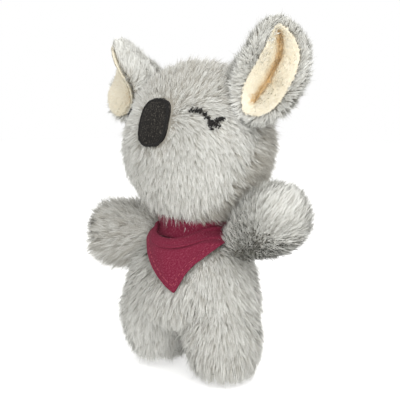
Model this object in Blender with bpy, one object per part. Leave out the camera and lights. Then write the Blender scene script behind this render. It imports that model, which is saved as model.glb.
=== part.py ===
"""A small plush koala with a neck bandana, standing on its two feet.

Metres, +Z up. The toy faces -Y and its own left side is +X. The origin is on the ground, between the feet.
Each skin is a sewn plush cover, open where it was filled, and each filling is the fibre inside it.
Limbs end in a ball that sits in a round seat of the body, and the head sits on a ball of fibre in the neck.
"""

import math

import bmesh
import bpy
from mathutils import Euler, Matrix, Vector

# Plush cloth, thread and the clearances between pieces
SKIN_THICKNESS = 0.0042
FILLING_GAP = 0.0006
SEAT_GAP = 0.0009
FIT_GAP = 0.0003
THREAD_RADIUS = 0.0008
CUT_OVERRUN = 0.004

# Legs: from the hip to the sole
LEG_LENGTH = 0.0340
LEG_BALL_RADIUS = 0.0155
LEG_BELLY_RADIUS = 0.0200
LEG_SPACING = 0.0480
LEG_FORWARD = 0.0065
LEG_CREASE_ANGLE = math.radians(45)
LEG_BELLY_SHARE = 0.62
LEG_BLUNTNESS = 3.0
SOLE_CUT = 0.0005

# Torso
TORSO_HEIGHT = 0.0590
TORSO_HALF_WIDTH = 0.0435
TORSO_HALF_DEPTH = 0.0290
TORSO_FORWARD = 0.0055
HIP_ABOVE_TORSO_BASE = 0.0110
SHOULDER_ABOVE_TORSO_BASE = 0.0520
SHOULDER_SPACING = 0.0670
SHOULDER_FORWARD = 0.0010
# Rows from the base up: height, half width, half depth and forward shift, as shares of the torso's own
TORSO_SHARES = (
    (0.000, 0.00, 0.00, 1.00),
    (0.025, 0.48, 0.44, 1.00),
    (0.075, 0.74, 0.70, 1.00),
    (0.140, 0.91, 0.89, 1.00),
    (0.230, 1.00, 1.00, 1.00),
    (0.410, 0.96, 0.97, 0.90),
    (0.575, 0.90, 0.91, 0.70),
    (0.730, 0.81, 0.82, 0.50),
    (0.855, 0.64, 0.71, 0.30),
    (0.937, 0.41, 0.54, 0.15),
    (1.000, 0.00, 0.00, 0.00),
)

# Arms: from the shoulder to the tip
ARM_LENGTH = 0.0415
ARM_BALL_RADIUS = 0.0148
ARM_BELLY_RADIUS = 0.0178
ARM_CREASE_ANGLE = math.radians(70)
ARM_BELLY_SHARE = 0.56
ARM_BLUNTNESS = 2.4
LEFT_ARM_FORWARD_ANGLE = math.radians(5)
RIGHT_ARM_FORWARD_ANGLE = math.radians(8)
LEFT_ARM_RAISE = math.radians(31)
RIGHT_ARM_RAISE = math.radians(-5)

# Neck and head
NECK_BALL_RADIUS = 0.0160
NECK_ABOVE_TORSO_TOP = 0.0055
HEAD_ABOVE_NECK = 0.0360
HEAD_HALF_WIDTH = 0.0435
HEAD_HALF_DEPTH = 0.0370
HEAD_HALF_HEIGHT = 0.0425
HEAD_FULLNESS = 0.93
# Rows from the chin up: height as a share of the half height, then width, depth and forward shares
HEAD_SHARES = (
    (-1.0, 0.96, 0.96, 0.00),
    (-0.5, 1.01, 1.02, 0.01),
    (0.0, 1.00, 1.00, 0.00),
    (0.5, 0.98, 0.98, -0.02),
    (1.0, 0.96, 0.96, -0.03),
)

# Ears: each stands on a line across the head's side
EAR_LENGTH = 0.0420
EAR_HALF_WIDTH = 0.0185
EAR_HALF_DEPTH = 0.0085
EAR_ROOT_HALF_WIDTH = 0.0150
EAR_ROOT_RADIUS = 0.0028
EAR_WIDEST_SHARE = 0.42
EAR_SEAT_ANGLE = math.radians(57)
EAR_SEAT_BACK = 0.0010
EAR_TWIST = math.radians(22)
EAR_SWEEP_BACK = math.radians(6)
# How far the ear's middle line slants upwards for each length along the ear
EAR_SLANT = 0.34
EAR_RIM_WIDTH = 0.0045
EAR_BACK_WALL = 0.0045
EAR_HOLLOW_BASE = 0.0030
EAR_BASE_BLUNTNESS = 3.0
LINING_THICKNESS = 0.0032
LINING_RECESS = 0.0012
CREASE_LENGTH = 0.0290
CREASE_DEPTH = 0.0022
CREASE_HALF_WIDTH = 0.0012

# Nose and eyes, measured from the head's own middle
NOSE_HALF_WIDTH = 0.0079
NOSE_HALF_HEIGHT = 0.0106
NOSE_ABOVE_MIDDLE = 0.0112
NOSE_ASIDE = 0.0014
NOSE_THICKNESS = 0.0012
NOSE_SQUARENESS = 2.5
EYE_HEADING = math.radians(50)
EYE_ABOVE_MIDDLE = 0.0125
EYE_WIDTH = 0.0172
# The closed lid's strokes: places across and up, as shares of the eye's width
LID_SHARES = ((-0.50, 0.28), (-0.24, 0.26), (-0.07, 0.17), (0.05, 0.05), (0.11, -0.09), (0.10, -0.29))
UPPER_LASH_SHARES = ((0.09, -0.06), (0.33, 0.01), (0.50, 0.06))

# Bandana: a band round the neck, a triangle that hangs from it in front, and a knot behind
CLOTH_THICKNESS = 0.0012
BAND_HALF_WIDTH = 0.0176
BAND_FRONT_REACH = 0.0205
BAND_BACK_REACH = 0.0185
BAND_SPREAD = 0.0010
BAND_FRONT_SPREAD = 0.0035
BAND_TOP_BELOW_NECK = 0.0050
BAND_FRONT_RISE = 0.0010
BAND_HEIGHT = 0.0030
BAND_FRONT_DROP = 0.0065
BAND_BACK_DROP = 0.0030
TRIANGLE_TURN = math.radians(23)
TRIANGLE_HALF_ANGLE = math.radians(39)
TRIANGLE_TIP_HALF_ANGLE = math.radians(3)
TRIANGLE_TOP_BELOW_NECK = 0.0095
TRIANGLE_CORNER_RISE = 0.0030
TRIANGLE_DROP = 0.0300
TRIANGLE_STAND = 0.0012
TRIANGLE_NECK_STAND = 0.0080
TRIANGLE_NECK_REACH = 0.0160
TRIANGLE_FOLD_HEIGHT = 0.0010
KNOT_HALF_WIDTH = 0.0062
KNOT_HALF_HEIGHT = 0.0042
KNOT_HALF_DEPTH = 0.0036
TAIL_LENGTH = 0.0150
TAIL_HALF_WIDTH = 0.0040
TAIL_SPREAD = math.radians(30)
TAIL_TILT = math.radians(8)

# How finely the forms are drawn
BODY_SIDES = 24
LIMB_SIDES = 16
EAR_SIDES = 16
SEAT_SIDES = 20
HEAD_ROWS = 14
NOSE_POINTS = 28

# Colours, linear
SILVER_PLUSH = (0.50, 0.50, 0.47, 1.0)
CREAM_PLUSH = (0.90, 0.83, 0.67, 1.0)
CHARCOAL_FELT = (0.035, 0.034, 0.033, 1.0)
BLACK_THREAD = (0.012, 0.012, 0.012, 1.0)
MAROON_COTTON = (0.26, 0.022, 0.065, 1.0)
WHITE_FIBRE = (0.88, 0.88, 0.86, 1.0)

# Places that follow from the sizes
HIP_HEIGHT = LEG_LENGTH
TORSO_BASE = HIP_HEIGHT - HIP_ABOVE_TORSO_BASE
TORSO_TOP = TORSO_BASE + TORSO_HEIGHT
SHOULDER_HEIGHT = TORSO_BASE + SHOULDER_ABOVE_TORSO_BASE
NECK_HEIGHT = TORSO_TOP + NECK_ABOVE_TORSO_TOP
HEAD_MIDDLE = NECK_HEIGHT + HEAD_ABOVE_NECK


def clear_scene():
    for obj in list(bpy.data.objects):
        bpy.data.objects.remove(obj)


def material(name, colour, roughness):
    made = bpy.data.materials.new(name)
    made.use_nodes = True
    shader = made.node_tree.nodes["Principled BSDF"]
    shader.inputs["Base Color"].default_value = colour
    shader.inputs["Roughness"].default_value = roughness
    shader.inputs["Metallic"].default_value = 0
    return made


def add_object(name, mesh, finish=None, location=(0, 0, 0), turn=None):
    """Adds a mesh as an object. With no finish it is a cutter or a guide, which is drawn as wires only."""
    obj = bpy.data.objects.new(name, mesh)
    bpy.context.scene.collection.objects.link(obj)
    placed = Matrix.Translation(location)
    obj.matrix_world = placed @ turn.to_4x4() if turn else placed
    if finish:
        mesh.materials.append(finish)
    else:
        obj.hide_render = True
        obj.display_type = "WIRE"
    return obj


def cut(obj, cutter, operation="DIFFERENCE"):
    modifier = obj.modifiers.new(f"{operation.lower()} {cutter.name}", "BOOLEAN")
    modifier.operation = operation
    modifier.object = cutter


def cubic(rows, place):
    """The values at a place between rows (place, value, ...), on a smooth cubic through them."""
    index = max(i for i in range(len(rows) - 1) if i == 0 or rows[i][0] <= place)
    before, after = rows[index], rows[index + 1]
    span = after[0] - before[0]
    part = (place - before[0]) / span

    def slope(i, column):
        low, high = rows[max(i - 1, 0)], rows[min(i + 1, len(rows) - 1)]
        return (high[column] - low[column]) / (high[0] - low[0]) * span

    values = []
    for column in range(1, len(before)):
        start, end = before[column], after[column]
        lift = end - start
        leave, arrive = slope(index, column), slope(index + 1, column)
        values.append(
            start + part * (leave + part * (3 * lift - 2 * leave - arrive + part * (leave + arrive - 2 * lift)))
        )
    return values


def torso_rows(grow=0):
    """The torso's rows from the top down: height, half width, half depth and forward shift, grown all round."""
    middle = (TORSO_BASE + TORSO_TOP) / 2
    stretch = 1 + 2 * grow / TORSO_HEIGHT
    rows = []
    for place, width, depth, forward in reversed(TORSO_SHARES):
        height = middle + (TORSO_BASE + place * TORSO_HEIGHT - middle) * stretch
        pole = place in (0, 1)
        half_width = 0 if pole else width * TORSO_HALF_WIDTH + grow
        half_depth = 0 if pole else depth * TORSO_HALF_DEPTH + grow
        rows.append((height, half_width, half_depth, forward * TORSO_FORWARD))
    return rows


def head_rows(grow=0):
    rows = []
    for step in range(HEAD_ROWS + 1):
        polar = math.pi * step / HEAD_ROWS
        height = math.cos(polar)
        width, depth, forward = cubic(HEAD_SHARES, height)
        round_share = max(math.sin(polar), 0) ** HEAD_FULLNESS if 0 < step < HEAD_ROWS else 0
        rows.append(
            (
                HEAD_MIDDLE + height * (HEAD_HALF_HEIGHT + grow),
                round_share * (width * HEAD_HALF_WIDTH + grow),
                round_share * (depth * HEAD_HALF_DEPTH + grow),
                forward * HEAD_HALF_DEPTH,
            )
        )
    return rows


def limb_rows(length, ball_radius, crease_angle, belly_radius, belly_share, bluntness, shrink=0):
    """A limb's rows from its tip to its root: a ball about the hip or shoulder, a crease, a belly and a blunt end."""
    ball = ball_radius - shrink
    belly = belly_radius - shrink
    tip = length - shrink
    crease = (ball * math.cos(crease_angle), ball * math.sin(crease_angle))
    widest = length * belly_share
    rows = []
    for step in range(4):
        part = math.sin(math.pi / 2 * (1 - step / 4))
        radius = belly * (1 - part**bluntness) ** (1 / bluntness)
        rows.append((widest + (tip - widest) * part, radius, radius, 0))
    for step in range(3):
        part = 1 - step / 3
        eased = part * part * (3 - 2 * part)
        along = crease[0] + (widest - crease[0]) * part
        radius = crease[1] + (belly - crease[1]) * eased
        rows.append((along, radius, radius, 0))
    for step in range(6):
        polar = crease_angle + (math.pi - crease_angle) * step / 5
        rows.append((ball * math.cos(polar), ball * math.sin(polar), ball * math.sin(polar), 0))
    rows[-1] = (-ball, 0, 0, 0)
    return rows


def lofted(name, rows, sides, slant=0):
    """A closed form through rows (height, half width, half depth, forward) from the top pole to the bottom pole."""
    mesh = bpy.data.meshes.new(name)
    form = bmesh.new()
    last = len(rows) - 1
    bmesh.ops.create_uvsphere(form, u_segments=sides, v_segments=last, radius=1)
    for vert in form.verts:
        polar = math.acos(max(-1, min(1, vert.co.z)))
        height, half_width, half_depth, forward = rows[round(polar / math.pi * last)]
        around = Vector((vert.co.x, vert.co.y))
        if around.length > 0:
            around.normalize()
        vert.co = (around.x * half_width + slant * max(height, 0), around.y * half_depth - forward, height)
    bmesh.ops.recalc_face_normals(form, faces=form.faces)
    form.to_mesh(mesh)
    form.free()
    mesh.shade_smooth()
    return mesh


def surface_point(rows, heading, height):
    """The point of a lofted form at a height, in the direction heading: 0 is the front, and it grows to the left."""
    for upper, lower in zip(rows, rows[1:]):
        if lower[0] <= height:
            break
    part = (upper[0] - height) / (upper[0] - lower[0])
    part = max(0, min(1, part))
    half_width, half_depth, forward = (a + (b - a) * part for a, b in zip(upper[1:], lower[1:]))
    reach = 1 / math.hypot(math.sin(heading) / half_width, math.cos(heading) / half_depth)
    return Vector((reach * math.sin(heading), -reach * math.cos(heading) - forward, height))


def ball_cutter(name, centre, radius):
    mesh = bpy.data.meshes.new(name)
    form = bmesh.new()
    bmesh.ops.create_uvsphere(form, u_segments=SEAT_SIDES, v_segments=SEAT_SIDES // 2, radius=radius)
    form.to_mesh(mesh)
    form.free()
    return add_object(name, mesh, location=centre)


def thread(name, points, radius, closed=False):
    """A line of raised stitching through the points, as a mesh."""
    line = bpy.data.curves.new(name, "CURVE")
    line.dimensions = "3D"
    line.bevel_depth = radius
    line.bevel_resolution = 1
    line.use_fill_caps = not closed
    spline = line.splines.new("POLY")
    spline.points.add(len(points) - 1)
    for place, point in zip(spline.points, points):
        place.co = (*point, 1)
    spline.use_cyclic_u = closed
    guide = bpy.data.objects.new(f"{name}_line", line)
    bpy.context.scene.collection.objects.link(guide)
    bpy.context.view_layer.update()
    mesh = bpy.data.meshes.new_from_object(guide)
    bpy.data.objects.remove(guide)
    form = bmesh.new()
    form.from_mesh(mesh)
    bmesh.ops.remove_doubles(form, verts=form.verts, dist=radius / 100)
    bmesh.ops.recalc_face_normals(form, faces=form.faces)
    form.to_mesh(mesh)
    form.free()
    mesh.name = name
    mesh.shade_smooth()
    return mesh


def cloth(name, place, across, down, closed=False):
    """A sheet over a grid: place(u, v) gives the point for u from -1 to 1 across and v from 0 to 1 down."""
    mesh = bpy.data.meshes.new(name)
    form = bmesh.new()
    bmesh.ops.create_grid(form, x_segments=across, y_segments=down, size=1)
    for vert in form.verts:
        vert.co = place(vert.co.x, (1 - vert.co.y) / 2)
    if closed:
        bmesh.ops.remove_doubles(form, verts=form.verts, dist=FIT_GAP / 10)
    form.to_mesh(mesh)
    form.free()
    mesh.shade_smooth()
    return mesh


def thicken(obj):
    solid = obj.modifiers.new("thickness", "SOLIDIFY")
    solid.thickness = CLOTH_THICKNESS
    solid.offset = 0
    solid.use_even_offset = True


def add_torso(finish, fibre, seats):
    skin = add_object("torso_skin", lofted("torso_skin", torso_rows(), BODY_SIDES), finish)
    hollow = add_object("torso_hollow", lofted("torso_hollow", torso_rows(-SKIN_THICKNESS), BODY_SIDES))
    filled = torso_rows(-SKIN_THICKNESS - FILLING_GAP)
    filling = add_object("torso_filling", lofted("torso_filling", filled, BODY_SIDES), fibre)
    cut(skin, hollow)
    for seat in seats:
        cut(skin, seat)
        cut(filling, seat)


def add_head(finish, fibre, neck_seat):
    skin = add_object("head_skin", lofted("head_skin", head_rows(), BODY_SIDES), finish)
    hollow = add_object("head_hollow", lofted("head_hollow", head_rows(-SKIN_THICKNESS), BODY_SIDES))
    filled = head_rows(-SKIN_THICKNESS - FILLING_GAP)
    filling = add_object("head_filling", lofted("head_filling", filled, BODY_SIDES), fibre)
    cut(skin, hollow)
    cut(skin, neck_seat)
    cut(filling, neck_seat)


def add_neck(fibre):
    rows = []
    count = BODY_SIDES // 2 - 2
    for step in range(count + 1):
        polar = math.pi * step / count
        radius = NECK_BALL_RADIUS * math.sin(polar) if 0 < step < count else 0
        rows.append((NECK_BALL_RADIUS * math.cos(polar), radius, radius, 0))
    ball = lofted("neck_filling", rows, BODY_SIDES)
    add_object("neck_filling", ball, fibre, location=(0, 0, NECK_HEIGHT))


def add_limb(name, finish, fibre, pivot, turn, sizes, ground=None):
    """A sewn sock with its filling. The sock's root is open in the middle, where it was filled."""
    skin = add_object(f"{name}_skin", lofted(f"{name}_skin", limb_rows(**sizes), LIMB_SIDES), finish, pivot, turn)
    inside = limb_rows(**sizes, shrink=SKIN_THICKNESS)
    hollow = add_object(f"{name}_hollow", lofted(f"{name}_hollow", inside, LIMB_SIDES), None, pivot, turn)
    cut(skin, hollow)
    mouth_mesh = bpy.data.meshes.new(f"{name}_mouth")
    mouth = bmesh.new()
    reach = sizes["ball_radius"] + CUT_OVERRUN
    mouth_radius = (sizes["ball_radius"] - SKIN_THICKNESS) / 2
    bmesh.ops.create_cone(
        mouth,
        cap_ends=True,
        segments=LIMB_SIDES,
        radius1=mouth_radius,
        radius2=mouth_radius,
        depth=reach,
        matrix=Matrix.Translation((0, 0, -reach / 2)),
    )
    mouth.to_mesh(mouth_mesh)
    mouth.free()
    cut(skin, add_object(f"{name}_mouth", mouth_mesh, None, pivot, turn))
    filled = limb_rows(**sizes, shrink=SKIN_THICKNESS + FILLING_GAP)
    add_object(f"{name}_filling", lofted(f"{name}_filling", filled, LIMB_SIDES), fibre, pivot, turn)
    if ground:
        cut(skin, ground)


def slab(name, side, shift):
    """A cube used as a cutter, moved from the middle by shift."""
    mesh = bpy.data.meshes.new(name)
    form = bmesh.new()
    bmesh.ops.create_cube(form, size=side)
    bmesh.ops.translate(form, verts=form.verts, vec=shift)
    form.to_mesh(mesh)
    form.free()
    return add_object(name, mesh)


def ear_rows(shrink=0):
    """An ear's rows from the tip to the root, whose lower edge is round about the line that the ear bends on."""
    top = EAR_LENGTH - shrink
    wide, deep = EAR_HALF_WIDTH - shrink, EAR_HALF_DEPTH - shrink
    root_wide, root_deep = EAR_ROOT_HALF_WIDTH - shrink, EAR_ROOT_RADIUS - shrink
    widest = EAR_LENGTH * EAR_WIDEST_SHARE
    rows = [(top, 0, 0, 0)]
    for step in range(1, 6):
        part = math.cos(math.pi / 2 * step / 5)
        round_share = math.sqrt(1 - part * part)
        rows.append((widest + (top - widest) * part, wide * round_share, deep * round_share, 0))
    for step in range(1, 4):
        part = step / 3
        eased = part * part * (3 - 2 * part)
        half_width = wide + (root_wide - wide) * eased
        rows.append((widest * (1 - part), half_width, deep + (root_deep - deep) * eased, 0))
    for turned in (math.radians(35), math.radians(65)):
        half_width = root_wide - root_deep * (1 - math.cos(turned))
        rows.append((-root_deep * math.sin(turned), half_width, root_deep * math.cos(turned), 0))
    rows.append((-root_deep, 0, 0, 0))
    return rows


def ear_place(side):
    """Where the ear's bending line lies on the head's side, and how the ear is turned about it."""
    rows = head_rows(EAR_ROOT_RADIUS + FIT_GAP + FIT_GAP)
    height = HEAD_MIDDLE + HEAD_HALF_HEIGHT * math.cos(EAR_SEAT_ANGLE)
    seat = surface_point(rows, side * math.pi / 2, height)
    seat.y += EAR_SEAT_BACK
    lean = Matrix.Rotation(side * EAR_SEAT_ANGLE, 3, "Y")
    twist = Matrix.Rotation(side * EAR_TWIST, 3, "Z")
    return seat, lean @ twist @ Matrix.Rotation(-EAR_SWEEP_BACK, 3, "X")


def hollow_rows(shrink):
    """An egg that opens the ear's front: rows from its top to its base, smaller all round by shrink."""
    widest = EAR_LENGTH * EAR_WIDEST_SHARE
    top = EAR_LENGTH - EAR_RIM_WIDTH - shrink
    base = EAR_HOLLOW_BASE + shrink
    half_width = EAR_HALF_WIDTH - EAR_RIM_WIDTH - shrink
    half_depth = EAR_HALF_DEPTH + EAR_HALF_DEPTH - EAR_BACK_WALL - shrink
    rows = []
    for step in range(11):
        height = math.cos(math.pi * step / 10)
        bluntness = 2 if height > 0 else EAR_BASE_BLUNTNESS
        end = top if height > 0 else base
        round_share = (1 - abs(height) ** bluntness) ** (1 / bluntness) if 0 < step < 10 else 0
        along = widest + abs(height) * (end - widest)
        rows.append((along, half_width * round_share, half_depth * round_share, EAR_HALF_DEPTH))
    return rows


def add_ear(name, side, finish, lining_finish):
    seat, turn = ear_place(side)
    slant = -side * EAR_SLANT

    def piece(label, rows, piece_finish=None, sides=EAR_SIDES):
        mesh = lofted(f"{name}_{label}", rows, sides, slant)
        return add_object(f"{name}_{label}", mesh, piece_finish, seat, turn)

    skin = piece("skin", ear_rows(), finish)
    cut(skin, piece("opening", hollow_rows(0)))
    lining = piece("lining", hollow_rows(FIT_GAP), lining_finish)
    cut(lining, piece("dish", hollow_rows(FIT_GAP + LINING_THICKNESS)))
    cut(lining, piece("front", ear_rows(LINING_RECESS)), "INTERSECT")
    crease_rows = []
    for step in range(7):
        polar = math.pi * step / 6
        swell = math.sin(polar) if 0 < step < 6 else 0
        along = EAR_HOLLOW_BASE + CREASE_LENGTH * (1 + math.cos(polar)) / 2
        ahead = EAR_BACK_WALL + LINING_THICKNESS - EAR_HALF_DEPTH
        crease_rows.append((along, CREASE_HALF_WIDTH * swell, CREASE_DEPTH * swell, ahead))
    cut(lining, piece("crease", crease_rows, sides=8))


def nose_outline(half_width, half_height, count):
    """An upright oval between an ellipse and a rectangle."""
    points = []
    for step in range(count):
        angle = 2 * math.pi * step / count
        across, up = math.cos(angle), math.sin(angle)
        size = (abs(across) ** NOSE_SQUARENESS + abs(up) ** NOSE_SQUARENESS) ** (-1 / NOSE_SQUARENESS)
        points.append((half_width * across * size, half_height * up * size))
    return points


def face_point(across, height, grow):
    """The point of the face straight behind a place seen from the front, grown outwards."""
    rows = head_rows(grow)
    for upper, lower in zip(rows, rows[1:]):
        if lower[0] <= height:
            break
    part = (upper[0] - height) / (upper[0] - lower[0])
    half_width, half_depth, forward = (a + (b - a) * part for a, b in zip(upper[1:], lower[1:]))
    return Vector((across, -half_depth * math.sqrt(1 - (across / half_width) ** 2) - forward, height))


def add_nose(felt, black):
    middle = HEAD_MIDDLE + NOSE_ABOVE_MIDDLE
    mesh = bpy.data.meshes.new("nose_patch")
    form = bmesh.new()
    outline = nose_outline(NOSE_HALF_WIDTH, NOSE_HALF_HEIGHT, NOSE_POINTS)
    ring = [form.verts.new((NOSE_ASIDE + x, -HEAD_HALF_DEPTH - CUT_OVERRUN, middle + z)) for x, z in outline]
    face = form.faces.new(ring)
    pulled = bmesh.ops.extrude_face_region(form, geom=[face])["geom"]
    moved = [item for item in pulled if isinstance(item, bmesh.types.BMVert)]
    bmesh.ops.translate(form, verts=moved, vec=(0, HEAD_HALF_DEPTH, 0))
    bmesh.ops.recalc_face_normals(form, faces=form.faces)
    form.to_mesh(mesh)
    form.free()
    patch = add_object("nose_patch", mesh, felt)
    outer = lofted("nose_outer", head_rows(FIT_GAP + NOSE_THICKNESS), BODY_SIDES)
    inner = lofted("nose_inner", head_rows(FIT_GAP), BODY_SIDES)
    cut(patch, add_object("nose_outer", outer), "INTERSECT")
    cut(patch, add_object("nose_inner", inner))
    off = THREAD_RADIUS + FIT_GAP
    border = nose_outline(NOSE_HALF_WIDTH + off, NOSE_HALF_HEIGHT + off, NOSE_POINTS)
    points = [face_point(NOSE_ASIDE + x, middle + z, off + FIT_GAP) for x, z in border]
    add_object("nose_stitching", thread("nose_stitching", points, THREAD_RADIUS, closed=True), black)


def add_eye(name, side, black):
    off = THREAD_RADIUS + FIT_GAP + FIT_GAP
    rows = head_rows(off)
    height = HEAD_MIDDLE + EYE_ABOVE_MIDDLE
    reach = surface_point(rows, EYE_HEADING, height).xy.length

    def stroke(shares):
        return [
            surface_point(rows, side * (EYE_HEADING + x * EYE_WIDTH / reach), height + z * EYE_WIDTH)
            for x, z in shares
        ]

    eye = add_object(name, thread(name, stroke(LID_SHARES), THREAD_RADIUS), black)
    lash = thread(f"{name}_lash", stroke(UPPER_LASH_SHARES), THREAD_RADIUS)
    cut(eye, add_object(f"{name}_lash", lash), "UNION")


def band_point(u, v):
    """The band is low in front, where the triangle hangs, and narrow at the sides, where it passes the shoulders."""
    heading = math.pi * u
    ahead = ((1 + math.cos(heading)) / 2) ** 4
    behind = ((1 - math.cos(heading)) / 2) ** 4
    front_reach = BAND_FRONT_REACH + BAND_FRONT_SPREAD * v
    back_reach = BAND_BACK_REACH + BAND_SPREAD * v
    reach = front_reach if math.cos(heading) > 0 else back_reach
    top = NECK_HEIGHT - BAND_TOP_BELOW_NECK + BAND_FRONT_RISE * ahead
    drop = BAND_HEIGHT + BAND_FRONT_DROP * ahead + BAND_BACK_DROP * behind
    across = (BAND_HALF_WIDTH + BAND_SPREAD * v) * math.sin(heading)
    return Vector((across, -reach * math.cos(heading), top - v * drop))


def triangle_point(u, v):
    """Its upper edge sags in the middle and stands off the neck, and its folds run down to the tip."""
    top = NECK_HEIGHT - TRIANGLE_TOP_BELOW_NECK
    height = top + TRIANGLE_CORNER_RISE * u * u * (1 - v) - v * TRIANGLE_DROP
    near_neck = max(0, (height - top + TRIANGLE_NECK_REACH) / TRIANGLE_NECK_REACH)
    fold = TRIANGLE_FOLD_HEIGHT * (1 + math.cos(3 * math.pi * u)) / 2 * (1 - v)
    rows = torso_rows(TRIANGLE_STAND + TRIANGLE_NECK_STAND * near_neck + fold)
    heading = TRIANGLE_TURN + u * (TRIANGLE_TIP_HALF_ANGLE + (TRIANGLE_HALF_ANGLE - TRIANGLE_TIP_HALF_ANGLE) * (1 - v))
    return surface_point(rows, heading, height)


def add_bandana(cotton):
    thicken(add_object("bandana_band", cloth("bandana_band", band_point, 40, 3, closed=True), cotton))
    thicken(add_object("bandana_triangle", cloth("bandana_triangle", triangle_point, 20, 14), cotton))
    add_knot(cotton)


def add_knot(cotton):
    """The knot that ties the band behind the neck, with its two short ends."""
    height = NECK_HEIGHT - BAND_TOP_BELOW_NECK - (BAND_HEIGHT + BAND_BACK_DROP) / 2
    behind = BAND_BACK_REACH + (BAND_SPREAD + CLOTH_THICKNESS) / 2 + FIT_GAP + KNOT_HALF_DEPTH
    centre = Vector((0, behind, height))
    rows = []
    for step in range(9):
        polar = math.pi * step / 8
        swell = math.sin(polar) if 0 < step < 8 else 0
        rows.append((KNOT_HALF_HEIGHT * math.cos(polar), KNOT_HALF_WIDTH * swell, KNOT_HALF_DEPTH * swell, 0))
    knot = add_object("bandana_knot", lofted("bandana_knot", rows, 14), cotton, location=centre)
    for label, side in (("left", 1), ("right", -1)):
        mesh = bpy.data.meshes.new(f"bandana_tail_{label}")
        form = bmesh.new()
        bmesh.ops.create_cube(form, size=2)
        for vert in form.verts:
            lower = vert.co.z < 0
            wide = TAIL_HALF_WIDTH if lower else TAIL_HALF_WIDTH / 2
            vert.co = (vert.co.x * wide, vert.co.y * CLOTH_THICKNESS / 2, -TAIL_LENGTH if lower else 0)
        form.to_mesh(mesh)
        form.free()
        turn = Euler((TAIL_TILT, -side * TAIL_SPREAD, 0)).to_matrix()
        cut(knot, add_object(f"bandana_tail_{label}", mesh, None, centre, turn), "UNION")


def main():
    clear_scene()
    plush = material("silver_plush", SILVER_PLUSH, 0.9)
    cream = material("cream_plush", CREAM_PLUSH, 0.9)
    felt = material("charcoal_felt", CHARCOAL_FELT, 0.95)
    black = material("black_thread", BLACK_THREAD, 0.6)
    cotton = material("maroon_cotton", MAROON_COTTON, 0.85)
    fibre = material("white_fibre", WHITE_FIBRE, 1.0)

    neck = Vector((0, 0, NECK_HEIGHT))
    seats = [ball_cutter("neck_seat", neck, NECK_BALL_RADIUS + SEAT_GAP)]
    neck_seat = seats[0]
    ground = slab("ground", TORSO_HEIGHT * 2, (0, 0, -TORSO_HEIGHT))
    arm = dict(
        length=ARM_LENGTH,
        ball_radius=ARM_BALL_RADIUS,
        crease_angle=ARM_CREASE_ANGLE,
        belly_radius=ARM_BELLY_RADIUS,
        belly_share=ARM_BELLY_SHARE,
        bluntness=ARM_BLUNTNESS,
    )
    leg = dict(
        length=LEG_LENGTH + SOLE_CUT,
        ball_radius=LEG_BALL_RADIUS,
        crease_angle=LEG_CREASE_ANGLE,
        belly_radius=LEG_BELLY_RADIUS,
        belly_share=LEG_BELLY_SHARE,
        bluntness=LEG_BLUNTNESS,
    )
    for name, side, rise, ahead in (
        ("left", 1, LEFT_ARM_RAISE, LEFT_ARM_FORWARD_ANGLE),
        ("right", -1, RIGHT_ARM_RAISE, RIGHT_ARM_FORWARD_ANGLE),
    ):
        shoulder = Vector((side * SHOULDER_SPACING / 2, -SHOULDER_FORWARD, SHOULDER_HEIGHT))
        reach = Matrix.Rotation(-side * ahead, 3, "Z")
        turn = reach @ Matrix.Rotation(side * (math.pi / 2 - rise), 3, "Y")
        add_limb(f"{name}_arm", plush, fibre, shoulder, turn, arm)
        seats.append(ball_cutter(f"{name}_shoulder_seat", shoulder, ARM_BALL_RADIUS + SEAT_GAP))
        hip = Vector((side * LEG_SPACING / 2, -LEG_FORWARD, HIP_HEIGHT))
        add_limb(f"{name}_leg", plush, fibre, hip, Matrix.Rotation(math.pi, 3, "X"), leg, ground)
        seats.append(ball_cutter(f"{name}_hip_seat", hip, LEG_BALL_RADIUS + SEAT_GAP))
        add_ear(f"{name}_ear", side, plush, cream)
        add_eye(f"{name}_eye_stitching", side, black)
    add_torso(plush, fibre, seats)
    add_neck(fibre)
    add_head(plush, fibre, neck_seat)
    add_nose(felt, black)
    add_bandana(cotton)


main()
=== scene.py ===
"""Looks of a small plush koala: pile over stuffed forms, a felt nose, stitched eyes and a cotton bandana."""

import logging
import math
from dataclasses import dataclass
from enum import Enum
from typing import Callable

import bmesh
import bpy
import numpy as np
from mathutils import Matrix, Vector
from mathutils.kdtree import KDTree


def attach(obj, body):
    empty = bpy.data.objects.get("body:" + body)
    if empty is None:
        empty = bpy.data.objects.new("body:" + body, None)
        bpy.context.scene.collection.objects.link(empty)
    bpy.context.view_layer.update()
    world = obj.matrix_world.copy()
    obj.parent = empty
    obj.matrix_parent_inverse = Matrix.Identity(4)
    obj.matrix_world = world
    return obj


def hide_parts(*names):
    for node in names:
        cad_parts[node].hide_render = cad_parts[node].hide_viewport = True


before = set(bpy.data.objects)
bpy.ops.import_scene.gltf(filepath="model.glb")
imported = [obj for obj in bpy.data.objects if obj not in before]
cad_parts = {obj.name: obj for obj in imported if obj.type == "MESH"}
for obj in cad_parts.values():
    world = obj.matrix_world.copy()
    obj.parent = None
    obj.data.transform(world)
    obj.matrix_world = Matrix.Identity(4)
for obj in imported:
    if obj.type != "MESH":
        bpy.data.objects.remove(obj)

logging.basicConfig(level=logging.INFO, format="%(message)s")
LOG = logging.getLogger("koala")
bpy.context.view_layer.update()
MM = 0.001
TINY = 1e-12
BAKE_MAP = "OFBake"
Points = np.ndarray
Rows = tuple[tuple[float, ...], ...]
Colour = tuple[float, float, float]
Place = Callable[[Points], Points]
Cloth = Callable[[Points, Points], Points]
Material = bpy.types.Material
Socket = bpy.types.NodeSocket
Value = Socket | float
Paint = Socket | Colour


class Side(Enum):
    """The toy's own left and right."""

    LEFT = 1
    RIGHT = -1

    @property
    def word(self) -> str:
        """The side as it stands in the names of nodes and bodies."""
        return self.name.lower()


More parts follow.
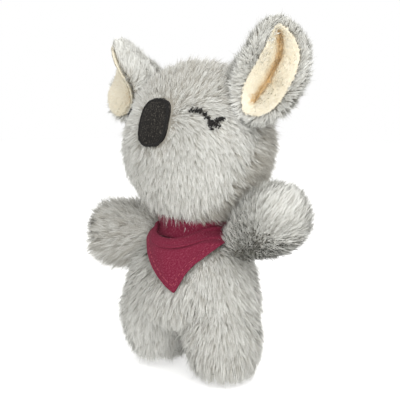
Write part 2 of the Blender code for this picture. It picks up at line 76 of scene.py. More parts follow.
def unit(vectors: Points) -> Points:
    """Each vector at length one."""
    return vectors / np.maximum(np.linalg.norm(vectors, axis=-1, keepdims=True), TINY)


def smooth_step(values: Points, start: float, end: float) -> Points:
    """0 before start, 1 after end and a smooth rise between them."""
    part = np.clip((values - start) / (end - start), 0, 1)
    return part * part * (3 - 2 * part)


def ridge(values: Points, width: float) -> Points:
    """1 where the values are 0, falling to nothing within about two widths on both sides."""
    return np.exp(-((values / width) ** 2))


def between(places: Points, stops: Points, table: Points) -> Points:
    """The rows of a table at places between its stops."""
    return np.column_stack([np.interp(places, stops, column) for column in table.T])


def gone_along(path: Points) -> Points:
    """How far each point of a path lies along it."""
    return np.concatenate([[0], np.cumsum(np.linalg.norm(np.diff(path, axis=0), axis=1))])


def laid_down(vectors: Points, normals: Points) -> Points:
    """Each vector laid down on the surface, at length one."""
    return unit(vectors - normals * (vectors * normals).sum(1, keepdims=True))


def turned_to(vectors: Points, direction: Points) -> Points:
    """The vectors, each reversed where it points away from the direction."""
    return vectors * np.sign((vectors * direction).sum(1, keepdims=True) + 1e-9)


def on_oval(heading: Points, wide: Points, deep: Points) -> tuple[Points, Points]:
    """How far aside and how far back the rim of an oval lies at headings from the front."""
    reach = 1 / np.hypot(np.sin(heading) / wide, np.cos(heading) / deep)
    return reach * np.sin(heading), -reach * np.cos(heading)


def srgb(red: int, green: int, blue: int) -> Colour:
    """A colour written as it shows on a screen, from 0 to 255, as Blender's linear values."""
    return tuple(
        value / 12.92 if value <= 0.04045 else ((value + 0.055) / 1.055) ** 2.4
        for value in (red / 255, green / 255, blue / 255)
    )


# Finishes


class NodeMaker:
    """Adds nodes to one tree and links them in the same line."""

    def __init__(self, tree: bpy.types.NodeTree) -> None:
        """Starts with an empty tree.

        Args:
            tree: the tree of a material or of a node group.
        """
        self.tree = tree
        tree.nodes.clear()

    def add(self, kind: str, inputs: dict | None = None, **settings: object) -> bpy.types.Node:
        """Adds a node.

        Args:
            kind: Blender's type name of the node, without "ShaderNode".
            inputs: a socket or a plain value for each named or numbered input.
            settings: the node's own attributes.

        Returns:
            The node.
        """
        node = self.tree.nodes.new(kind if kind.startswith("Node") else f"ShaderNode{kind}")
        for name, value in settings.items():
            setattr(node, name, value)
        for name, value in (inputs or {}).items():
            if isinstance(value, Socket):
                self.tree.links.new(value, node.inputs[name])
            else:
                node.inputs[name].default_value = value
        return node

    def ramp(self, factor: Socket, stops: list[tuple[float, Colour]]) -> Socket:
        """A colour ramp.

        Args:
            factor: what the ramp reads.
            stops: the places and colours along it.

        Returns:
            The ramp's colour.
        """
        node = self.add("ValToRGB", {0: factor})
        elements = node.color_ramp.elements
        while len(elements) < len(stops):
            elements.new(1)
        for element, (place, colour) in zip(elements, stops):
            element.position = place
            element.color = (*colour, 1)
        return node.outputs[0]

    def greys(self, factor: Socket, *stops: tuple[float, float]) -> Socket:
        """A ramp from grey to grey: its places, each with its value."""
        return self.ramp(factor, [(place, (value, value, value)) for place, value in stops])

    def noise(self, place: Socket, scale: Value, detail: float, roughness: float = 0.5) -> Socket:
        """The value of a noise."""
        inputs = {"Vector": place, "Scale": scale, "Detail": detail, "Roughness": roughness}
        return self.add("TexNoise", inputs).outputs[0]

    def maths(self, operation: str, *values: Value) -> Socket:
        """The value of one Math node."""
        return self.add("Math", dict(enumerate(values)), operation=operation).outputs[0]

    def mix(self, factor: Socket, first: Paint, second: Paint) -> Socket:
        """Two colours mixed by a factor."""
        inputs = {0: factor, 6: first, 7: second}
        inputs = {key: (*value, 1) if isinstance(value, tuple) else value for key, value in inputs.items()}
        return self.add("Mix", inputs, data_type="RGBA").outputs[2]

    def relief(self, height: Socket, strength: float, distance: float) -> Socket:
        """The normal of a surface with fine relief."""
        return self.add("Bump", {"Height": height, "Strength": strength, "Distance": distance}).outputs[0]

    def surface(
        self, colour: Socket, roughness: float, normal: Socket | None = None, **plain: object
    ) -> None:
        """The Principled shader and the material's output.

        Args:
            colour: what Base Color reads.
            roughness: the plain roughness.
            normal: what Normal reads, if the surface has relief.
            plain: uniform values, by the socket's name with _ for a space.
        """
        inputs = {"Base Color": colour, "Roughness": roughness}
        if normal is not None:
            inputs["Normal"] = normal
        inputs.update({name.replace("_", " "): value for name, value in plain.items()})
        shader = self.add("BsdfPrincipled", inputs)
        self.add("OutputMaterial", {0: shader.outputs[0]})


def new_material(name: str) -> tuple[Material, NodeMaker]:
    """A new material and the maker for its nodes."""
    material = bpy.data.materials.new(name)
    material.use_nodes = True
    return material, NodeMaker(material.node_tree)


def effect(
    name: str, inputs: dict[str, float | Colour], output: tuple[str, str]
) -> tuple[NodeMaker, dict[str, Socket], Socket]:
    """A new node group for an effect that several materials use.

    Args:
        name: the group's name.
        inputs: each input's name with its first value, a number or a colour.
        output: the output's name and its socket type.

    Returns:
        The maker for its nodes, its input sockets by name and the input of its output node.
    """
    tree = bpy.data.node_groups.new(name, "ShaderNodeTree")
    maker = NodeMaker(tree)
    for label, value in inputs.items():
        kind = "NodeSocketFloat" if isinstance(value, float) else "NodeSocketColor"
        socket = tree.interface.new_socket(label, in_out="INPUT", socket_type=kind)
        socket.default_value = value if kind == "NodeSocketFloat" else (*value, 1)
    tree.interface.new_socket(output[0], in_out="OUTPUT", socket_type=output[1])
    entry = maker.add("NodeGroupInput")
    return maker, {label: entry.outputs[label] for label in inputs}, maker.add("NodeGroupOutput").inputs[0]


def mottle_group() -> bpy.types.NodeTree:
    """Soft patches of two colours over a piece, as dyed fibre has them."""
    inputs = {"Base": (0.5, 0.5, 0.5), "Patch": (0.4, 0.4, 0.4), "Scale": 90.0, "Amount": 0.5}
    maker, given, out = effect("mottle", inputs, ("Colour", "NodeSocketColor"))
    place = maker.add("TexCoord").outputs["Object"]
    wide = maker.noise(place, given["Scale"], 3.0)
    factor = maker.maths("MULTIPLY", maker.greys(wide, (0.35, 0.0), (0.65, 1.0)), given["Amount"])
    maker.tree.links.new(maker.mix(factor, given["Base"], given["Patch"]), out)
    return maker.tree


def nap_group() -> bpy.types.NodeTree:
    """The fine uneven height of short fibres, for felt, velour and the ground cloth under the pile."""
    maker, given, out = effect("nap", {"Scale": 900.0, "Coarse": 250.0}, ("Height", "NodeSocketFloat"))
    place = maker.add("TexCoord").outputs["Object"]
    fine = maker.noise(place, given["Scale"], 6.0, roughness=0.7)
    coarse = maker.noise(place, given["Coarse"], 2.0)
    maker.tree.links.new(maker.maths("MULTIPLY_ADD", coarse, 0.5, fine), out)
    return maker.tree


@dataclass(frozen=True)
class PileFinish:
    """The fibres of the plush: U of the bake map is a fibre's tint, V goes from its root to its tip."""

    name: str
    roots: tuple[tuple[float, Colour], ...]
    tips: tuple[tuple[float, Colour], ...]
    roughness: float = 0.55

    def build(self) -> Material:
        """The material."""
        material, maker = new_material(self.name)
        place = maker.add("SeparateXYZ", {0: maker.add("UVMap", uv_map=BAKE_MAP).outputs[0]})
        tint, along = place.outputs[0], place.outputs[1]
        root, tip = (maker.ramp(tint, list(stops)) for stops in (self.roots, self.tips))
        colour = maker.mix(maker.greys(along, (0.0, 0.0), (0.30, 0.42), (0.75, 1.0)), root, tip)
        maker.surface(colour, self.roughness, Specular_IOR_Level=0.35, Sheen_Weight=0.15, Sheen_Roughness=0.4)
        return material


@dataclass(frozen=True)
class ClothFinish:
    """A soft cloth with a fine nap: the ground of the plush, the velour lining or the felt."""

    name: str
    base: Colour
    patch: Colour
    patch_scale: float
    patch_amount: float
    nap_scale: float
    nap_height: float
    roughness: float
    sheen: float
    sheen_tint: Colour = (1.0, 1.0, 1.0)
    fleck: Colour | None = None
    # deep: the colour of painted shade that darkens the cloth towards a crease, read through the depth map
    deep: Colour | None = None

    def build(self, mottle: bpy.types.NodeTree, nap: bpy.types.NodeTree) -> Material:
        """The material.

        Args:
            mottle: the group that mixes the two colours.
            nap: the group that gives the fibres' height.

        Returns:
            The material.
        """
        material, maker = new_material(self.name)
        patches = {
            "Base": (*self.base, 1), "Patch": (*self.patch, 1),
            "Scale": self.patch_scale, "Amount": self.patch_amount,
        }
        colour = maker.add("Group", patches, node_tree=mottle).outputs[0]
        if self.fleck:
            cells = maker.noise(maker.add("TexCoord").outputs["Object"], 1500.0, 3.0)
            colour = maker.mix(maker.greys(cells, (0.54, 0.0), (0.70, 1.0)), colour, self.fleck)
        # painted shade: the deep colour darkens the cloth towards the crease, where the depth map's U is 0
        if self.deep:
            depth = maker.add("SeparateXYZ", {0: maker.add("UVMap", uv_map="depth").outputs[0]}).outputs[0]
            fold = maker.greys(depth, (0.0, 1.0), (0.10, 0.75), (0.30, 0.18), (0.55, 0.0))
            colour = maker.mix(fold, colour, self.deep)
        fibres = maker.add("Group", {"Scale": self.nap_scale, "Coarse": self.nap_scale / 4}, node_tree=nap)
        relief = maker.relief(fibres.outputs[0], 0.7, self.nap_height)
        maker.surface(
            colour, self.roughness, relief, Specular_IOR_Level=0.15, Sheen_Weight=self.sheen,
            Sheen_Roughness=0.45, Sheen_Tint=(*self.sheen_tint, 1),
        )
        return material


@dataclass(frozen=True)
class CottonFinish:
    """Plain-woven cotton: two sets of yarns, each a little uneven in colour."""

    name: str
    warp: Colour
    weft: Colour
    fleck: Colour
    yarns: float = 2300.0
    slub_stretches: Rows = ((900.0, 2600.0, 1.0), (2600.0, 900.0, 1.0))

    def build(self) -> Material:
        """The material. It reads the piece's own UV map, in metres along the cloth."""
        material, maker = new_material(self.name)
        flat = maker.add("UVMap", uv_map="cloth").outputs[0]
        across = maker.add("SeparateXYZ", {0: flat})
        turns = (maker.maths("MULTIPLY", across.outputs[axis], self.yarns * math.pi) for axis in (0, 1))
        waves = [maker.maths("SINE", turn) for turn in turns]
        checks = maker.maths("MULTIPLY_ADD", maker.maths("MULTIPLY", *waves), 0.5, 0.5)
        stretched = (maker.add("Mapping", {0: flat, 3: scale}).outputs[0] for scale in self.slub_stretches)
        slubs = [maker.noise(place, 1.0, 3.0) for place in stretched]
        woven = maker.mix(checks, self.warp, self.weft)
        light = maker.greys(maker.mix(checks, *slubs), (0.50, 0.0), (0.68, 0.85))
        height = maker.maths("ADD", checks, maker.maths("MULTIPLY", slubs[0], 0.8))
        maker.surface(
            maker.mix(light, woven, self.fleck), 0.9, maker.relief(height, 0.6, 0.00012),
            Specular_IOR_Level=0.12, Sheen_Weight=0.06, Sheen_Roughness=0.5, Sheen_Tint=(0.9, 0.5, 0.6, 1),
        )
        return material


@dataclass(frozen=True)
class ThreadFinish:
    """Shiny embroidery thread or plain sewing thread, with its twist as fine relief."""

    name: str
    colour: Colour
    light: Colour
    roughness: float

    def build(self) -> Material:
        """The material. It reads the piece's own UV map: U along a stitch, V round it."""
        material, maker = new_material(self.name)
        lines = maker.noise(maker.add("UVMap", uv_map="thread").outputs[0], 4.0, 4.0)
        colour = maker.mix(maker.greys(lines, (0.40, 0.0), (0.75, 1.0)), self.colour, self.light)
        relief = maker.relief(lines, 0.5, 0.00006)
        maker.surface(colour, self.roughness, relief, Specular_IOR_Level=0.2, Sheen_Weight=0.06)
        return material


SILVER_PILE = PileFinish(
    "silver_pile",
    roots=(
        (0.0, srgb(136, 129, 117)),
        (0.35, srgb(164, 159, 148)),
        (0.70, srgb(188, 185, 175)),
        (1.0, srgb(206, 203, 193)),
    ),
    tips=(
        (0.0, srgb(160, 155, 144)),
        (0.20, srgb(194, 192, 184)),
        (0.50, srgb(213, 213, 208)),
        (0.80, srgb(226, 226, 221)),
        (1.0, srgb(239, 239, 235)),
    ),
)
# the tan low ends of both ramps are painted shade: the fuzz's tint falls towards them in the ear's crease
CREAM_PILE = PileFinish(
    "cream_pile",
    roots=((0.0, srgb(200, 164, 108)), (0.45, srgb(228, 214, 184)), (1.0, srgb(238, 230, 210))),
    tips=((0.0, srgb(210, 176, 122)), (0.45, srgb(238, 229, 206)), (1.0, srgb(248, 244, 230))),
)
PLUSH_GROUND = ClothFinish(
    "plush_ground", srgb(172, 167, 156), srgb(150, 144, 132), patch_scale=120.0, patch_amount=0.6,
    nap_scale=1500.0, nap_height=0.0003, roughness=0.95, sheen=0.3,
)
# the velour's deep colour is painted shade in the ear's crease
CREAM_VELOUR = ClothFinish(
    "cream_velour", srgb(236, 229, 210), srgb(229, 219, 194), patch_scale=160.0, patch_amount=0.5,
    nap_scale=2200.0, nap_height=0.00018, roughness=0.9, sheen=0.10, sheen_tint=(1.0, 0.95, 0.85),
    deep=srgb(198, 160, 104),
)
CHARCOAL_FELT = ClothFinish(
    "charcoal_felt", srgb(34, 32, 30), srgb(25, 24, 23), patch_scale=420.0, patch_amount=0.8,
    nap_scale=1800.0, nap_height=0.00035, roughness=0.98, sheen=0.02, fleck=srgb(82, 78, 72),
)
MAROON_COTTON = CottonFinish(
    "maroon_cotton", warp=srgb(97, 19, 42), weft=srgb(113, 32, 54), fleck=srgb(152, 78, 94)
)
BLACK_THREAD = ThreadFinish("black_thread", srgb(14, 13, 12), light=srgb(40, 38, 36), roughness=0.75)
HEM_THREAD = ThreadFinish("hem_thread", srgb(138, 52, 68), light=srgb(168, 84, 96), roughness=0.7)


# Shapes


def add_piece(mesh: bpy.types.Mesh, material: Material) -> bpy.types.Object:
    """A piece at the origin, with its place in its mesh and the mesh's name."""
    piece = bpy.data.objects.new(mesh.name, mesh)
    bpy.context.scene.collection.objects.link(piece)
    mesh.materials.append(material)
    return piece


def soften(piece: bpy.types.Object) -> None:
    """Finishes a piece with one level of subdivision."""
    modifier = piece.modifiers.new("soften", "SUBSURF")
    modifier.levels = 1
    modifier.render_levels = 1


def add_stuffed(
    mesh: bpy.types.Mesh, material: Material, body: str, slot: str, fill: float, *stands_for: str,
    soft: bool = True,
) -> bpy.types.Object:
    """Adds a stuffed piece in the place of CAD nodes.

    Args:
        mesh: its finished mesh.
        material: its finish.
        body: the body that it rides on.
        slot: not used.
        fill: not used.
        stands_for: the CAD nodes that it replaces.
        soft: whether it gets a level of subdivision.

    Returns:
        The piece.
    """
    piece = add_piece(mesh, material)
    if soft:
        soften(piece)
    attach(piece, body)
    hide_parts(*stands_for)
    return piece


def made_mesh(form: bmesh.types.BMesh, name: str) -> bpy.types.Mesh:
    """A form as a smooth-shaded mesh. The form is freed."""
    mesh = bpy.data.meshes.new(name)
    form.to_mesh(mesh)
    form.free()
    mesh.shade_smooth()
    return mesh


def in_order(form: bmesh.types.BMesh) -> bmesh.types.BMesh:
    """The form with its faces put in order, because the operator's own order varies from run to run."""
    form.verts.index_update()
    loops = []
    for face in form.faces:
        loop = [vert.index for vert in face.verts]
        first = loop.index(min(loop))
        loops.append(loop[first:] + loop[:first])
    ordered = bmesh.new()
    verts = [ordered.verts.new(vert.co) for vert in form.verts]
    for loop in sorted(loops):
        ordered.faces.new([verts[index] for index in loop])
    form.free()
    return ordered


def placed_ball(name: str, segments: int, rings: int, place: Place, relax: int = 0) -> bpy.types.Mesh:
    """A closed stuffed form: a ball whose points are moved to their place and smoothed.

    Args:
        name: the mesh's name.
        segments: the ball's meridians.
        rings: its rows from pole to pole.
        place: gives the form's points for the points of the unit ball.
        relax: how many times the form is smoothed.

    Returns:
        The mesh.
    """
    form = bmesh.new()
    bmesh.ops.create_uvsphere(form, u_segments=segments, v_segments=rings, radius=1)
    form = in_order(form)
    ball = np.array([vert.co for vert in form.verts])
    for vert, point in zip(form.verts, place(ball)):
        vert.co = point
    for _ in range(relax):
        bmesh.ops.smooth_vert(
            form, verts=form.verts, factor=0.5, use_axis_x=True, use_axis_y=True, use_axis_z=True
        )
    bmesh.ops.recalc_face_normals(form, faces=form.faces)
    if form.calc_volume(signed=True) < 0:
        bmesh.ops.reverse_faces(form, faces=form.faces)
    return made_mesh(form, name)


def placed_grid(
    name: str, columns: int, rows: int, place: Cloth, flat: Cloth, ring: bool = False
) -> bpy.types.Mesh:
    """A sheet of cloth: a grid whose points are moved to their place.

    Args:
        name: the mesh's name.
        columns: cells across the sheet.
        rows: cells along it.
        place: gives the points for their shares across and along, from 0 to 1.
        flat: gives the places on the flat cloth, in metres, for the same shares.
        ring: whether the first and last columns meet.

    Returns:
        The mesh, with the cloth's own UV map.
    """
    form = bmesh.new()
    bmesh.ops.create_grid(form, x_segments=columns, y_segments=rows, size=1)
    across = np.array([(vert.co.x + 1) / 2 for vert in form.verts])
    along = np.array([(vert.co.y + 1) / 2 for vert in form.verts])
    cut = flat(across, along)
    cloth_map = form.loops.layers.uv.new("cloth")
    for face in form.faces:
        for loop in face.loops:
            loop[cloth_map].uv = cut[loop.vert.index]
    for vert, point in zip(form.verts, place(across, along)):
        vert.co = point
    if ring:
        bmesh.ops.remove_doubles(form, verts=form.verts, dist=1e-6)
    bmesh.ops.recalc_face_normals(form, faces=form.faces)
    return made_mesh(form, name)


def along_rows(rows: Rows, share: Points, samples: int = 200, blur: int = 25) -> Points:
    """Points on a line through rows, with its corners rounded.

    Args:
        rows: the line's corners.
        share: the points' places, as shares of its length.
        samples: how many places the rounding works on.
        blur: over how many of them a corner is rounded.

    Returns:
        The points.
    """
    table = np.array(rows, float)
    steps = gone_along(table[:, :2])
    fine = np.linspace(0, steps[-1], samples)
    line = between(fine, steps, table)
    kernel = np.hanning(blur)[1:-1]
    kernel /= kernel.sum()
    for column in range(line.shape[1]):
        padded = np.pad(line[:, column], len(kernel) // 2, mode="reflect", reflect_type="odd")
        line[:, column] = np.convolve(padded, kernel, mode="valid")
    return between(share * steps[-1], fine, line)


@dataclass(frozen=True)
class Swell:
    """A stuffed form's rows from top to base: place on its axis, half width, half depth, forward shift."""

    rows: Rows

    def place(self, ball: Points, inset: float = 0) -> Points:
        """The form's points for the points of the unit ball.

        Args:
            ball: the points of the unit ball.
            inset: how far the form is drawn in all round.

        Returns:
            The points in the form's own axes.
        """
        table = np.array(self.rows)
        top, base = table[0, 0] - inset, table[-1, 0] + inset
        share = (table[:, 0] - table[-1, 0]) / (table[0, 0] - table[-1, 0])
        row_polar = np.arccos(np.clip(2 * share - 1, -1, 1))
        polar = np.arccos(np.clip(ball[:, 2], -1, 1))
        width, depth, forward = between(polar, row_polar, table[:, 1:]).T
        around = unit(ball[:, :2] + TINY)
        if inset:
            width, depth = (
                np.maximum(half - inset * np.clip(half / inset / 2, 0, 1), 0) for half in (width, depth)
            )
        height = base + (top - base) * (1 + np.cos(polar)) / 2
        return np.column_stack([around[:, 0] * width, around[:, 1] * depth - forward, height])


# Pile


@dataclass(frozen=True)
class Pile:
    """How one panel's pile is made: lengths in metres, angles in radians."""

    density: float = 7.0
    length: float = 0.0066
    spread: float = 0.20
    width: float = 0.00031
    lean: float = math.radians(54)
    droop: float = math.radians(15)
    clump: float = 0.0012
    pull: float = 0.46
    scatter: float = 0.13
    flyaway: float = 0.10
    softness: float = 0.70


@dataclass(frozen=True)
class Stray:
    """How far tufts and single strands stray on every panel: shares, and radians for leans and rolls."""

    strand_scatter: float = 0.8
    tuft_length: float = 0.75
    strand_length: float = 0.6
    length_range: tuple[float, float] = (0.35, 1.8)
    tuft_lean: float = 0.10
    strand_lean: float = 0.12
    lean_range: tuple[float, float] = (0.05, math.radians(82))
    fall_range: tuple[float, float] = (0.1, math.radians(88))
    loose_lean: float = 0.62
    loose_length: float = 1.12
    pull_range: tuple[float, float] = (0.7, 1.15)
    pull_limit: float = 0.95
    pull_at_bend: float = 0.4
    roll: float = 0.5
    width_range: tuple[float, float] = (0.7, 1.3)
    tuft_tint: float = 0.55
    strand_tint: float = 0.75
    tint_range: tuple[float, float] = (0.02, 0.98)
    tuft_blur: float = 0.16


@dataclass(frozen=True)
class Ribbon:
    """A strand's shape: two points at its root, two at its bend and one at its tip, in two faces."""

    to_bend: float = 0.45
    to_tip: float = 0.55
    bend_width: float = 0.85
    points: int = 5
    corners: tuple[int, ...] = (0, 1, 2, 3, 3, 2, 4)
    face_starts: tuple[int, ...] = (0, 4)
    sides: tuple[int, ...] = (-1, 1, 1, -1, -1, 1, 0)
    places: tuple[float, ...] = (0.02, 0.02, 0.45, 0.45, 0.45, 0.45, 0.98)
    tint_across: float = 0.012
    lowest: float = 0.0002
    lowest_facing: float = -0.15


STRAY = Stray()
RIBBON = Ribbon()
OnSurface = Callable[[Points, Points], Points]


def everywhere(points: Points, normals: Points) -> Points:
    """A share of one at every point."""
    return np.ones(len(points))


@dataclass
class FurPanel:
    """The pile that grows on one sewn panel of a stuffed form."""

    name: str
    body: str
    pile: Pile
    nap: OnSurface
    seed: int
    grows: OnSurface = everywhere
    longer: OnSurface = everywhere
    lighter: OnSurface = everywhere
    tint: float = 0.5
    tint_spread: float = 0.2
    slot: str = "silver_plush"

    def build(self, ground: bpy.types.Object, material: Material) -> bpy.types.Object:
        """Grows the strands on the ground's surface and makes them one piece.

        Args:
            ground: the stuffed form, with its modifiers.
            material: the finish of the fibres.

        Returns:
            The piece, riding on its body.
        """
        rng = np.random.default_rng(self.seed)
        roots, normals, kept = self.sample(rng, ground)
        strands = self.strands(rng, roots, normals, kept)
        piece = add_piece(self.mesh(*(part[kept] for part in strands), normals[kept]), material)
        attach(piece, self.body)
        LOG.info("%s: %d strands", self.name, kept.sum())
        return piece

    def sample(self, rng: np.random.Generator, ground: bpy.types.Object) -> tuple[Points, Points, Points]:
        """Roots spread evenly over the ground, and which of them the panel keeps.

        The places are rounded and nothing is left out before the last random draw, so that the last digit
        of a place can't change the strands from one run to the next.

        Args:
            rng: the panel's own random numbers.
            ground: the stuffed form.

        Returns:
            The roots, the surface's normals there and whether each one is kept.
        """
        evaluated = ground.evaluated_get(bpy.context.evaluated_depsgraph_get())
        mesh = evaluated.to_mesh()
        mesh.calc_loop_triangles()
        places, facing = (np.empty(len(mesh.vertices) * 3, np.float32) for _ in range(2))
        mesh.vertices.foreach_get("co", places)
        mesh.vertices.foreach_get("normal", facing)
        corners = np.empty(len(mesh.loop_triangles) * 3, np.int32)
        mesh.loop_triangles.foreach_get("vertices", corners)
        evaluated.to_mesh_clear()
        places, facing = (values.reshape(-1, 3).astype(float).round(6) for values in (places, facing))
        corners = corners.reshape(-1, 3)
        a, b, c = (places[corners[:, i]] for i in range(3))
        areas = np.linalg.norm(np.cross(b - a, c - a), axis=1) / 2
        count = 20 * round(areas.sum() * self.pile.density / MM**2 / 20)
        chosen = rng.choice(len(corners), count, p=areas / areas.sum())
        s, t = np.sqrt(rng.random(count)), rng.random(count)
        shares = np.column_stack([1 - s, s * (1 - t), s * t])
        roots = (places[corners[chosen]] * shares[:, :, None]).sum(1)
        normals = unit((facing[corners[chosen]] * shares[:, :, None]).sum(1))
        return roots, normals, rng.random(count) < self.grows(roots, normals)

    def strands(
        self, rng: np.random.Generator, roots: Points, normals: Points, kept: Points
    ) -> tuple[Points, ...]:
        """The strands' roots, bends and tips, with the directions across them and their tints.

        Args:
            rng: the panel's own random numbers.
            roots: where the strands start.
            normals: the surface's normals there.
            kept: whether each strand is kept.

        Returns:
            Roots, bends, tips, directions across, widths and tints.
        """
        pile, count = self.pile, len(roots)
        tufts = self.tufts(rng, roots, kept)
        tuft_noise = rng.normal(size=(count, 3))[tufts]
        tuft_length = rng.normal(size=count)[tufts]
        tuft_tint = rng.normal(size=count)[tufts]
        along = laid_down(self.nap(roots, normals), normals)
        scatter = rng.normal(size=(count, 3)) * pile.scatter * STRAY.strand_scatter
        along = laid_down(unit(along + tuft_noise * pile.scatter + scatter), normals)
        uneven = STRAY.tuft_length * tuft_length + STRAY.strand_length * rng.normal(size=count)
        length = pile.length * self.longer(roots, normals)
        length = length * np.clip(1 + pile.spread * uneven, *STRAY.length_range)
        lean = pile.lean + rng.normal(size=count) * STRAY.strand_lean + tuft_noise[:, 0] * STRAY.tuft_lean
        loose = rng.random(count) < pile.flyaway
        lean = np.clip(np.where(loose, lean * STRAY.loose_lean, lean), *STRAY.lean_range)
        length = np.where(loose, length * STRAY.loose_length, length)
        fall = np.clip(lean + pile.droop, *STRAY.fall_range)
        first, second = (
            normals * np.cos(angle)[:, None] + along * np.sin(angle)[:, None] for angle in (lean, fall)
        )
        bends = roots + first * length[:, None] * RIBBON.to_bend
        tips = bends + second * length[:, None] * RIBBON.to_tip
        pull = np.where(loose, 0.0, pile.pull)[:, None] * rng.uniform(*STRAY.pull_range, (count, 1))
        pull = np.clip(pull, 0, STRAY.pull_limit)
        tips = tips + (tips[tufts] - tips) * pull
        bends = bends + (bends[tufts] - bends) * pull * STRAY.pull_at_bend
        sideways = unit(np.cross(tips - roots, normals))
        roll = rng.normal(size=(count, 1)) * STRAY.roll
        sideways = unit(sideways * np.cos(roll) + unit(np.cross(sideways, tips - roots)) * np.sin(roll))
        width = pile.width * rng.uniform(*STRAY.width_range, count)
        uneven = STRAY.tuft_tint * tuft_tint + STRAY.strand_tint * rng.normal(size=count)
        tint = self.tint * self.lighter(roots, normals) + self.tint_spread * uneven
        for part in (bends, tips):
            part[:, 2] = np.maximum(part[:, 2], RIBBON.lowest)
        return roots, bends, tips, sideways, width, np.clip(tint, *STRAY.tint_range)

    def tufts(self, rng: np.random.Generator, roots: Points, kept: Points) -> Points:
        """For each strand that is kept, the kept strand in the middle of its tuft.

        Args:
            rng: the panel's own random numbers.
            roots: where the strands start.
            kept: whether each strand is kept.

        Returns:
            The middle strands' indices.
        """
        count = len(roots)
        share = 1 / (self.pile.density * (self.pile.clump / MM) ** 2)
        middles = np.flatnonzero((rng.random(count) < share) & kept)
        tree = KDTree(len(middles))
        for index in middles:
            tree.insert(roots[index], int(index))
        tree.balance()
        blur = rng.normal(size=roots.shape) * self.pile.clump * STRAY.tuft_blur
        nearest = np.arange(count)
        nearest[kept] = [tree.find(place)[1] for place in (roots + blur)[kept]]
        return nearest

    def mesh(
        self, roots: Points, bends: Points, tips: Points, across: Points, width: Points, tint: Points,
        outward: Points,
    ) -> bpy.types.Mesh:
        """The strands as tapered bent ribbons in one mesh.

        Args:
            roots: where the strands start.
            bends: their middles.
            tips: their ends.
            across: the direction of each ribbon's width.
            width: each ribbon's width at its root.
            tint: each strand's place in the finish's ramps.
            outward: the normals of the ground, towards which the strands' shading is turned.

        Returns:
            The mesh, with the bake map.
        """
        count, each = len(roots), np.arange(len(roots))[:, None]
        half = across * width[:, None] / 2
        bend_half = half * RIBBON.bend_width
        points = np.stack([roots - half, roots + half, bends + bend_half, bends - bend_half, tips], axis=1)
        corners = (each * RIBBON.points + np.array(RIBBON.corners)).ravel()
        starts = (each * len(RIBBON.corners) + np.array(RIBBON.face_starts)).ravel()
        mesh = bpy.data.meshes.new(self.name)
        mesh.vertices.add(count * RIBBON.points)
        mesh.vertices.foreach_set("co", points.astype(np.float32).ravel())
        mesh.loops.add(len(corners))
        mesh.loops.foreach_set("vertex_index", corners.astype(np.int32))
        mesh.polygons.add(len(starts))
        mesh.polygons.foreach_set("loop_start", starts.astype(np.int32))
        mesh.update(calc_edges=True)
        uvs = np.empty((count, len(RIBBON.corners), 2), np.float32)
        uvs[:, :, 0] = tint[:, None] + RIBBON.tint_across * np.array(RIBBON.sides)
        uvs[:, :, 1] = np.array(RIBBON.places)
        mesh.uv_layers.new(name=BAKE_MAP).data.foreach_set("uv", uvs.ravel())
        mesh.shade_smooth()
        mesh.validate()
        height = np.maximum(outward[:, 2], RIBBON.lowest_facing)
        outward = unit(np.column_stack([outward[:, :2], height]))
        facing = turned_to(unit(np.cross(half, tips - roots)), outward)
        facing = unit(facing * (1 - self.pile.softness) + outward * self.pile.softness)
        mesh.normals_split_custom_set_from_vertices(np.repeat(facing, RIBBON.points, axis=0))
        return mesh


# The toy's places, as in the frame

HEAD_MIDDLE = 0.1235
NECK_HEIGHT = 0.0875
HEAD_HALF = (0.0435, 0.0370, 0.0425)
HEAD_FULLNESS = 0.93
HEAD_SHARES = (
    (-1.0, 0.96, 0.96, 0.00),
    (-0.5, 1.01, 1.02, 0.01),
    (0.0, 1.00, 1.00, 0.00),
    (0.5, 0.98, 0.98, -0.02),
    (1.0, 0.96, 0.96, -0.03),
)
TORSO_RANGE = (0.023, 0.082)
TORSO_HALF = (0.0435, 0.0290)
TORSO_FORWARD = 0.0055
TORSO_SHARES = (
    (0.0, 0.0, 0.0, 1.0),
    (0.025, 0.48, 0.44, 1.0),
    (0.075, 0.74, 0.70, 1.0),
    (0.14, 0.91, 0.89, 1.0),
    (0.23, 1.0, 1.0, 1.0),
    (0.41, 0.96, 0.97, 0.90),
    (0.575, 0.90, 0.91, 0.70),
    (0.73, 0.81, 0.82, 0.50),
    (0.855, 0.64, 0.71, 0.30),
    (0.937, 0.41, 0.54, 0.15),
    (1.0, 0.0, 0.0, 0.0),
)


def head_surface(ball: Points, inset: float) -> Points:
    """The head's points for the points of the unit ball, drawn in by inset."""
    polar = np.arccos(np.clip(ball[:, 2], -1, 1))
    height = np.cos(polar)
    table = np.array(HEAD_SHARES)
    width, depth, forward = between(height, table[:, 0], table[:, 1:]).T
    share = np.maximum(np.sin(polar), 0) ** HEAD_FULLNESS
    around = unit(ball[:, :2] + TINY)
    wide, deep, tall = HEAD_HALF
    x = around[:, 0] * share * (width * wide - inset)
    y = around[:, 1] * share * (depth * deep - inset) - forward * deep
    return np.column_stack([x, y, HEAD_MIDDLE + height * (tall - inset)])


def face_depth(x: Points, z: Points, inset: float) -> Points:
    """How far forward the face is at places seen from the front: the y of its surface."""
    height = np.clip((z - HEAD_MIDDLE) / (HEAD_HALF[2] - inset), -0.99, 0.99)
    table = np.array(HEAD_SHARES)
    width, depth, forward = between(height, table[:, 0], table[:, 1:]).T
    share = np.sqrt(1 - height**2) ** HEAD_FULLNESS
    wide, deep = share * (width * HEAD_HALF[0] - inset), share * (depth * HEAD_HALF[1] - inset)
    return -deep * np.sqrt(np.clip(1 - (x / wide) ** 2, 0.001, 1)) - forward * HEAD_HALF[1]


